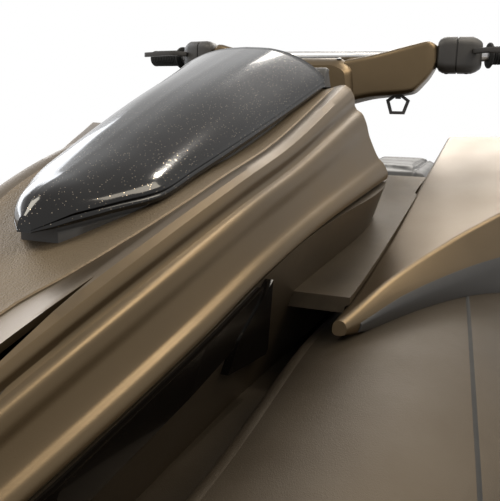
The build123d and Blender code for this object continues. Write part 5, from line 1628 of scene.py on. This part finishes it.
@dataclass
class Seats:
    """Both padded seats: simulated vinyl over foam, sewn channels, stitches and a moulded base."""

    bench: Bench
    low: float = 0.3953
    base_tall: float = 0.016
    voxel: float = 0.006
    # The farthest that the swelling may move a point
    cap: float = 0.009
    pressure: float = 4.0
    frames: int = 20
    # Depth and half width of the long seams, the cross channels and the waist seam
    seam: tuple = (0.0042, 0.0040)
    channel: tuple = (0.0048, 0.0055)
    waist: tuple = (0.0030, 0.0035)
    waist_up: float = 0.030
    # How far the cross channels bend for each metre from the middle
    channel_bend: float = 0.25
    stitch_beside: float = 0.0075
    stitch_pitch: float = 0.0095
    shapes: tuple = (
        SeatShape(
            "front_seat_pad",
            "seat_front",
            "front_seat",
            (
                (-0.238, 0.098, 0.076, 0.566),
                (-0.120, 0.128, 0.096, 0.588),
                (0.160, 0.170, 0.138, 0.600),
                (0.470, 0.178, 0.146, 0.622),
            ),
            (0.010, 0.160, 0.310),
            (0.052, 0.100),
        ),
        SeatShape(
            "rear_seat_pad",
            "seat_rear",
            "rear_seat",
            (
                (0.476, 0.178, 0.148, 0.648),
                (0.760, 0.180, 0.150, 0.660),
                (1.050, 0.172, 0.140, 0.668),
                (1.120, 0.158, 0.118, 0.640),
            ),
            (0.620, 0.780, 0.940),
            (0.102, 0.096),
        ),
    )

    def section(self, shape: SeatShape, y: float, draw: float) -> list[Flat]:
        """A seat's cross section at y, drawn in on all sides.

        Args:
            shape: The seat.
            y: The station.
            draw: How far the section is drawn in.

        Returns:
            Rounded (x, z) points.
        """
        half_low, half_top, top = (eased(shape.stations, column, y) for column in range(1, 4))
        low = self.low + self.base_tall
        corners = [
            (half_low - 0.004 - draw, low),
            (half_low + 0.001 - draw, low + 0.045),
            (half_top + 0.012 - draw, top - 0.036 - draw),
            (half_top - 0.014 - draw, top - 0.008 - draw),
        ]
        return rounded(both_sides(corners), (0.008, 0.02, 0.02, 0.02, 0.02, 0.02, 0.02, 0.008), 4)

    def foam(self, shape: SeatShape) -> bpy.types.Object:
        """The seat's foam form with rounded ends, a little smaller than the finished pad.

        Args:
            shape: The seat.

        Returns:
            The foam.
        """
        front, rear = shape.stations[0][0] + 0.004, shape.stations[-1][0] - 0.004
        rings = []
        ends = ((0.0, 0.022), (0.003, 0.013), (0.008, 0.007), (0.016, 0.0045))
        for back, draw in ends:
            rings.append(across_at(front + back, self.section(shape, front + back, draw)))
        for y in spread(front + 0.030, rear - 0.030, 40):
            rings.append(across_at(y, self.section(shape, y, 0.004)))
        for back, draw in reversed(ends):
            rings.append(across_at(rear - back, self.section(shape, rear - back, draw)))
        return self.bench.loft(shape.name, rings)

    def simulate(self, pad: bpy.types.Object, shape: SeatShape) -> None:
        """Remeshes the foam, swells it as cloth and keeps the swell within a cap.

        Args:
            pad: The seat's foam.
            shape: The seat; not used.
        """
        self.bench.modify(pad, "REMESH", mode="VOXEL", voxel_size=self.voxel)
        start = [vert.co.copy() for vert in pad.data.vertices]
        held = pad.vertex_groups.new(name="held")
        floor = self.low + self.base_tall + 0.012
        held.add([v.index for v in pad.data.vertices if v.co.z < floor], 1.0, "REPLACE")
        cloth = pad.modifiers.new("cloth", "CLOTH")
        cloth.settings.use_pressure = True
        cloth.settings.uniform_pressure_force = self.pressure
        cloth.settings.vertex_group_mass = "held"
        cloth.settings.effector_weights.gravity = 0.0
        for number in range(1, self.frames + 1):
            bpy.context.scene.frame_set(number)
        graph = bpy.context.evaluated_depsgraph_get()
        swollen = pad.evaluated_get(graph).to_mesh()
        places = [vert.co.copy() for vert in swollen.vertices]
        pad.evaluated_get(graph).to_mesh_clear()
        pad.modifiers.remove(cloth)
        bpy.context.scene.frame_set(1)
        for vert, before, after in zip(pad.data.vertices, start, places):
            step = after - before
            vert.co = before + step * min(1.0, self.cap / max(step.length, 1e-9))
        self.bench.modify(pad, "SMOOTH", factor=0.5, iterations=4)
        self.bench.modify(pad, "SUBSURF", levels=1, render_levels=1)

    def seam_at(self, shape: SeatShape, y: float) -> float:
        """Distance of the long seams from the middle.

        Args:
            shape: The seat.
            y: The station.

        Returns:
            The distance there.
        """
        front, rear = shape.stations[0][0], shape.stations[-1][0]
        share = (y - front) / (rear - front)
        return shape.seam_x[0] + share * (shape.seam_x[1] - shape.seam_x[0])

    def groove(self, sizes: Flat, away: float) -> float:
        """Depth of a soft groove of the given depth and half width, away from its middle."""
        return sizes[0] * math.exp(-((away / sizes[1]) ** 2))

    def sew(self, pad: bpy.types.Object, shape: SeatShape) -> None:
        """Presses the sewn seams and channels into the pad.

        Args:
            pad: The swollen pad.
            shape: The seat.
        """
        pressed = []
        for vert in pad.data.vertices:
            x, y, z = vert.co
            facing = vert.normal.z
            beside = abs(x) - self.seam_at(shape, y)
            deep = 0.0
            if facing > 0.25:
                deep = self.groove(self.seam, beside)
                if beside < 0:
                    bent = y + self.channel_bend * abs(x)
                    deep = max([deep] + [self.groove(self.channel, bent - place) for place in shape.channels])
            if facing < 0.6:
                up = z - (self.low + self.base_tall + self.waist_up)
                deep = max(deep, self.groove(self.waist, up))
            pressed.append(vert.co - vert.normal * deep)
        for vert, place in zip(pad.data.vertices, pressed):
            vert.co = place

    def stitches(self, pad: bpy.types.Object, shape: SeatShape) -> None:
        """Lays a row of stitches beside each long seam.

        Args:
            pad: The sewn pad.
            shape: The seat.
        """
        points = [vert.co for vert in pad.data.vertices]
        skin = BVHTree.FromPolygons(points, [face.vertices for face in pad.data.polygons])
        front, rear = shape.stations[0][0] + 0.035, shape.stations[-1][0] - 0.035
        rows = []
        for side in (1, -1):
            for beside in (-self.stitch_beside, self.stitch_beside):
                for y in spread(front, rear, int((rear - front) / self.stitch_pitch)):
                    ends = []
                    for run in (-0.0028, 0.0028):
                        x = side * (self.seam_at(shape, y + run) + beside)
                        hit = skin.ray_cast(Vector((x, y + run, 1.0)), Vector((0, 0, -1)))
                        if hit[0] is not None:
                            ends.append(hit[0] + hit[1] * 0.0001)
                    if len(ends) == 2:
                        rows.append(ends)
        profile = [(0.0, 0.0002), (0.0006, 0.0007), (0.0050, 0.0007), (0.0056, 0.0002)]
        stitch = self.bench.turned("stitch", (0, 0, 0), (0, 0, 1), profile, 5)
        places = [(tuple(start), tuple(end - start)) for start, end in rows]
        sewn = self.bench.copies(shape.name + "_stitches", stitch, places)
        self.bench.done(sewn, Slot.GRIP, shape.body)

    def base(self, shape: SeatShape) -> None:
        """The moulded base under the pad.

        Args:
            shape: The seat.
        """
        front, rear = shape.stations[0][0], shape.stations[-1][0]
        port = []
        for y in spread(front + 0.006, rear - 0.002, 30):
            port.append((eased(shape.stations, 1, y) - 0.008, y, self.low))
        outline = port + [(-x, y, z) for x, y, z in reversed(port)]
        tray = self.bench.plate(shape.name + "_base", outline, (0, 0, self.base_tall + 0.001), 0.003, 3)
        self.bench.done(tray, Slot.BIN, shape.body)

    def build(self) -> None:
        """Builds both seats."""
        for shape in self.shapes:
            pad = self.foam(shape)
            self.simulate(pad, shape)
            self.sew(pad, shape)
            self.stitches(pad, shape)
            self.base(shape)
            self.bench.done(pad, Slot.SEAT, shape.body, shape.node, angle=60.0)


@dataclass
class DeckFittings:
    """Pads, strips, rail screws and vents that sit on the moulded deck."""

    bench: Bench
    rail_y: tuple = (-1.700, 1.640)
    rail_screws: int = 26
    bead_radius: float = 0.0042
    # How far the bead's middle lies inside the rail's outer face
    bead_sunk: float = 0.0034
    # Rows: y, x of the split line
    split: tuple = (
        (-1.430, 0.380),
        (-1.281, 0.3632),
        (-1.176, 0.3524),
        (-1.019, 0.3397),
        (-0.906, 0.3324),
        (-0.860, 0.3300),
    )
    screw: tuple = ((0.0, 0.0052), (0.0012, 0.0050), (0.0020, 0.0036), (0.0020, 0.0020), (0.0010, 0.0016))

    def split_lines(self) -> None:
        """The dark split line that runs down each fender from the mirror pod."""
        skin = self.bench.skin("foredeck")
        lines = []
        for side in (1, -1):
            rows = []
            for y in spread(self.split[0][0], self.split[-1][0], 50):
                middle = eased(self.split, 1, y)
                rows.append([(side * x, y, 0.9) for x in spread(middle - 0.0022, middle + 0.0022, 4)])
            lines.append(self.bench.patch("split_line", skin, rows, (0, 0, -1), 0.0005))
        self.bench.done(self.bench.join("fender_split_lines", lines), Slot.RAIL, "root")

    def rail(self) -> None:
        """The rub rail's raised insert and its screws."""
        skin = self.bench.skin("rub_rail")
        heads, beads = [], []
        for side in (1, -1):
            line = []
            for y in spread(self.rail_y[0], self.rail_y[1], 90):
                best = None
                for z in spread(0.090, 0.360, 46):
                    hit = skin.ray_cast(Vector((side * 0.9, y, z)), Vector((-side, 0, 0)))
                    if hit[0] is not None and (best is None or abs(hit[0].x) > abs(best[0].x) + 1e-5):
                        best = hit
                if best is not None and abs(best[0].x) > 0.25:
                    line.append(best)
            middle = [tuple(hit[0] - hit[1] * self.bead_sunk) for hit in line]
            beads.append(self.bench.tube("rail_bead", middle, self.bead_radius, 8))
            step = max(1, len(line) // self.rail_screws)
            heads += [(tuple(hit[0] - hit[1] * 0.0004), tuple(hit[1])) for hit in line[2:-2:step]]
        self.bench.done(self.bench.join("rail_insert", beads), Slot.GRIP, "root")
        screw = self.bench.turned("rail_screw", (0, 0, 0), (0, 0, 1), self.screw, 10)
        self.bench.done(self.bench.copies("rail_screws", screw, heads), Slot.STEEL, "root")

    def knee_pads(self) -> None:
        """Ribbed foam pads on both sides of the seat pedestal."""
        skin = self.bench.skin("seat_pedestal")
        pads = []
        for side in (1, -1):
            for start in spread(-0.050, 0.790, 15):
                heights, along = spread(0.215, 0.350, 8), spread(start, start + 0.046, 6)
                rows = [[(side * 0.6, y, z) for z in heights] for y in along]
                pads.append(self.bench.patch("knee_rib", skin, rows, (-side, 0, 0), 0.0038))
        self.bench.done(self.bench.join("knee_pads", pads), Slot.MAT, "root")

    def deck_strips(self) -> None:
        """Grip strips on top of both side decks."""
        skin = self.bench.skin("side_decks")
        strips = []
        for side in (1, -1):
            for inner in spread(0.470, 0.530, 3):
                rows = []
                for y in spread(-0.080, 0.900, 40):
                    rows.append([(side * x, y, 0.9) for x in spread(inner, inner + 0.012, 4)])
                strips.append(self.bench.patch("deck_strip", skin, rows, (0, 0, -1), 0.0022))
        self.bench.done(self.bench.join("deck_strips", strips), Slot.MAT, "root")

    def vents(self) -> None:
        """Louvre bars on both flanks of the console."""
        skin = self.bench.skin("console")
        bars = []
        for side in (1, -1):
            for low in spread(0.560, 0.660, 6):
                heights, along = spread(low, low + 0.009, 4), spread(-0.775, -0.665, 10)
                rows = [[(side * 0.6, y, z + 0.25 * (y + 0.72)) for z in heights] for y in along]
                bars.append(self.bench.patch("vent_bar", skin, rows, (-side, 0, 0), 0.0036))
        self.bench.done(self.bench.join("console_vents", bars), Slot.TRIM, "root")

    def build(self) -> None:
        """Builds the fittings on the deck."""
        self.split_lines()
        self.rail()
        self.knee_pads()
        self.deck_strips()
        self.vents()


@dataclass
class SternFittings:
    """Bolts on the pump and sponsons, ribs on the reverse bucket and grip on the step."""

    bench: Bench
    pump_y: float = 1.2292
    pump_z: float = -0.145
    bolt_ring: float = 0.0965
    bolt: tuple = ((0.0, 0.0062), (0.0036, 0.0062), (0.0046, 0.0050), (0.0046, 0.0))
    sponson_y: tuple = (0.840, 1.060, 1.280, 1.480)
    rib_z: tuple = (-0.115, -0.070, -0.025, 0.020)
    handle_y: float = 1.162
    handle_z: float = 0.560
    ring_x: float = 0.060
    # Rows: distance along the handle, radius of a rubber ring
    ring: tuple = ((0.0, 0.0142), (0.001, 0.0158), (0.013, 0.0158), (0.014, 0.0142))

    def pump_bolts(self) -> None:
        """Six bolts round the pump's flange."""
        places = []
        for k in range(6):
            turn = math.radians(30 + 60 * k)
            x, z = self.bolt_ring * math.cos(turn), self.bolt_ring * math.sin(turn)
            places.append(((x, self.pump_y - 0.0004, self.pump_z + z), (0, 1, 0)))
        bolt = self.bench.turned("pump_bolt", (0, 0, 0), (0, 0, 1), self.bolt, 6)
        self.bench.done(self.bench.copies("pump_bolts", bolt, places), Slot.STEEL, "root", angle=20.0)

    def sponson_bolts(self) -> None:
        """Bolts along both sponsons."""
        skin = self.bench.skin("sponsons")
        places = []
        for side in (1, -1):
            for y in self.sponson_y:
                hit = skin.ray_cast(Vector((side * 0.9, y, -0.094)), Vector((-side, 0, 0)))
                if hit[0] is not None:
                    places.append((tuple(hit[0] - hit[1] * 0.0004), tuple(hit[1])))
        bolt = self.bench.turned("sponson_bolt", (0, 0, 0), (0, 0, 1), self.bolt, 12)
        self.bench.done(self.bench.copies("sponson_bolts", bolt, places), Slot.STEEL, "root")

    def bucket_ribs(self) -> None:
        """Cross ribs on the outside of the reverse bucket."""
        skin = self.bench.skin("reverse_bucket")
        ribs = []
        for z in self.rib_z:
            tall = spread(-0.0035, 0.0035, 4)
            rows = [[(x, 1.9, z + up) for up in tall] for x in spread(-0.078, 0.078, 15)]
            hits = [skin.ray_cast(Vector(p), Vector((0, -1, 0))) for row in rows for p in row]
            if all(hit[0] is not None and hit[1].y > 0.3 for hit in hits):
                ribs.append(self.bench.patch("bucket_rib", skin, rows, (0, -1, 0), 0.0034))
        if ribs:
            self.bench.done(self.bench.join("bucket_ribs", ribs), Slot.TRIM, "bucket")

    def step_grip(self) -> None:
        """Ridges across the tread of the boarding step."""
        skin = self.bench.skin("boarding_step")
        ridges = []
        for x in spread(-0.120, 0.120, 17):
            wide = spread(-0.0028, 0.0028, 4)
            rows = [[(x + off, y, 0.3) for off in wide] for y in spread(1.706, 1.722, 5)]
            ridges.append(self.bench.patch("step_ridge", skin, rows, (0, 0, -1), 0.0016))
        self.bench.done(self.bench.join("step_grip", ridges), Slot.GRIP, "step")

    def handle_wrap(self) -> None:
        """Two rubber rings on the rear grab handle."""
        rings = []
        for side in (1, -1):
            start = (side * self.ring_x - 0.007, self.handle_y, self.handle_z)
            rings.append(self.bench.turned("handle_ring", start, (1, 0, 0), self.ring))
        self.bench.done(self.bench.join("handle_rings", rings), Slot.GRIP, "root")

    def build(self) -> None:
        """Builds the fittings at the stern."""
        self.pump_bolts()
        self.sponson_bolts()
        self.bucket_ribs()
        self.step_grip()
        self.handle_wrap()


@dataclass
class Studio:
    """The camera at the photograph's view, the lamps, the world and the floor."""

    eye: tuple[float, float, float] = (0.348, -1.78, 0.73)
    yaw: float = 20.0
    pitch: float = 10.0
    roll: float = 2.0
    focal_px: float = 650.0
    frame_px: float = 501.0
    floor_z: float = -0.302
    lamps: tuple = field(
        default_factory=lambda: (
            # place, aim, size, watts, colour
            ((-1.2, -2.4, 3.2), (0.0, -1.2, 0.6), 1.0, 46.0, (1.0, 0.93, 0.80)),
            ((2.2, -0.6, 2.9), (0.2, -1.0, 0.5), 1.2, 44.0, (1.0, 0.90, 0.74)),
            ((0.9, -0.2, 2.6), (0.1, -1.1, 0.6), 0.16, 12.0, (1.0, 0.94, 0.84)),
            ((0.0, 3.2, 3.0), (0.0, 0.6, 0.3), 2.0, 90.0, (1.0, 0.95, 0.88)),
            ((-3.0, 0.6, 1.8), (0.0, 0.0, 0.2), 2.0, 50.0, (0.92, 0.95, 1.0)),
        )
    )

    def build(self) -> None:
        """Sets up everything that isn't part of the object."""
        self._camera()
        self._lamps()
        self._world()
        self._floor()

    def _camera(self) -> None:
        """Places the camera with the photograph's angles and field of view."""
        yaw, pitch, roll = (math.radians(a) for a in (self.yaw, self.pitch, self.roll))
        ahead = Vector((-math.sin(yaw) * math.cos(pitch), math.cos(yaw) * math.cos(pitch), -math.sin(pitch)))
        level = Vector((math.cos(yaw), math.sin(yaw), 0.0))
        upright = level.cross(ahead)
        right = level * math.cos(roll) + upright * math.sin(roll)
        up = upright * math.cos(roll) - level * math.sin(roll)
        data = bpy.data.cameras.new("photo_camera")
        data.sensor_width = 36.0
        data.lens = self.focal_px / self.frame_px * data.sensor_width
        data.clip_start, data.clip_end = 0.02, 100.0
        cam = bpy.data.objects.new("photo_camera", data)
        cam.matrix_world = Matrix.Translation(self.eye) @ Matrix((right, up, -ahead)).transposed().to_4x4()
        bpy.context.scene.collection.objects.link(cam)
        bpy.context.scene.camera = cam

    def _lamps(self) -> None:
        """Adds the soft studio lamps."""
        for place, aim, size, watts, colour in self.lamps:
            data = bpy.data.lights.new("soft_lamp", "AREA")
            data.energy, data.size, data.color = watts, size, colour
            lamp = bpy.data.objects.new("soft_lamp", data)
            lamp.location = place
            way = Vector(aim) - Vector(place)
            lamp.rotation_mode = "QUATERNION"
            lamp.rotation_quaternion = way.to_track_quat("-Z", "Y")
            bpy.context.scene.collection.objects.link(lamp)

    def _world(self) -> None:
        """A pale room that shows white to the camera, gloss and glass."""
        world = bpy.data.worlds.new("studio_world")
        world.use_nodes = True
        n = Nodes(world.node_tree)
        back = world.node_tree.nodes["Background"]
        back.inputs["Color"].default_value = (1.0, 1.0, 1.0, 1.0)
        strength = n.add("ShaderNodeMapRange", inputs={3: 0.30, 4: 1.0})
        n.link(self._seen(n), strength.inputs[0])
        n.link(strength.outputs[0], back.inputs["Strength"])
        bpy.context.scene.world = world

    def _seen(self, n: Nodes) -> bpy.types.NodeSocket:
        """A mask of the rays that show the background: camera, gloss and glass.

        Args:
            n: The node tree to add to.

        Returns:
            A socket that is 1 for those rays.
        """
        path = n.add("ShaderNodeLightPath")
        gloss = n.add("ShaderNodeMath", operation="MAXIMUM")
        n.link(path.outputs["Is Glossy Ray"], gloss.inputs[0])
        n.link(path.outputs["Is Transmission Ray"], gloss.inputs[1])
        seen = n.add("ShaderNodeMath", operation="MAXIMUM")
        n.link(path.outputs["Is Camera Ray"], seen.inputs[0])
        n.link(gloss.outputs[0], seen.inputs[1])
        return seen.outputs[0]

    def _floor(self) -> None:
        """A pale floor just under the keel that fades into the white background."""
        bpy.ops.object.select_all(action="DESELECT")
        bpy.ops.mesh.primitive_plane_add(size=40.0, location=(0, 0, self.floor_z))
        floor = bpy.context.active_object
        floor.name = "studio_floor"
        mat = bpy.data.materials.new("pale_floor")
        mat.use_nodes = True
        mat.node_tree.nodes["Principled BSDF"].inputs["Base Color"].default_value = (0.8, 0.8, 0.8, 1)
        mat.node_tree.nodes["Principled BSDF"].inputs["Roughness"].default_value = 0.6
        n = Nodes(mat.node_tree)
        place = n.add("ShaderNodeTexCoord")
        away = n.add("ShaderNodeVectorMath", operation="LENGTH")
        n.link(place.outputs["Object"], away.inputs[0])
        fade = n.add("ShaderNodeMapRange", inputs={1: 2.2, 2: 6.5})
        n.link(away.outputs["Value"], fade.inputs[0])
        share = n.add("ShaderNodeMath", operation="MULTIPLY")
        n.link(fade.outputs[0], share.inputs[0])
        n.link(self._seen(n), share.inputs[1])
        white = n.add("ShaderNodeEmission")
        mix = n.add("ShaderNodeMixShader")
        n.link(share.outputs[0], mix.inputs[0])
        n.link(mat.node_tree.nodes["Principled BSDF"].outputs[0], mix.inputs[1])
        n.link(white.outputs[0], mix.inputs[2])
        n.link(mix.outputs[0], mat.node_tree.nodes["Material Output"].inputs["Surface"])
        floor.data.materials.append(mat)


ASSEMBLIES = (BowHood, Cowl, MirrorPods, Controls, Seats, DeckFittings, SternFittings)


def main() -> None:
    """Builds the sub-assemblies in order."""
    shop = Workshop()
    shop.dress_frame()
    bench = Bench(shop)
    for assembly in ASSEMBLIES:
        assembly(bench).build()
    Studio().build()
    bpy.context.scene.view_settings.view_transform = "Standard"


if __name__ == "__main__":
    main()
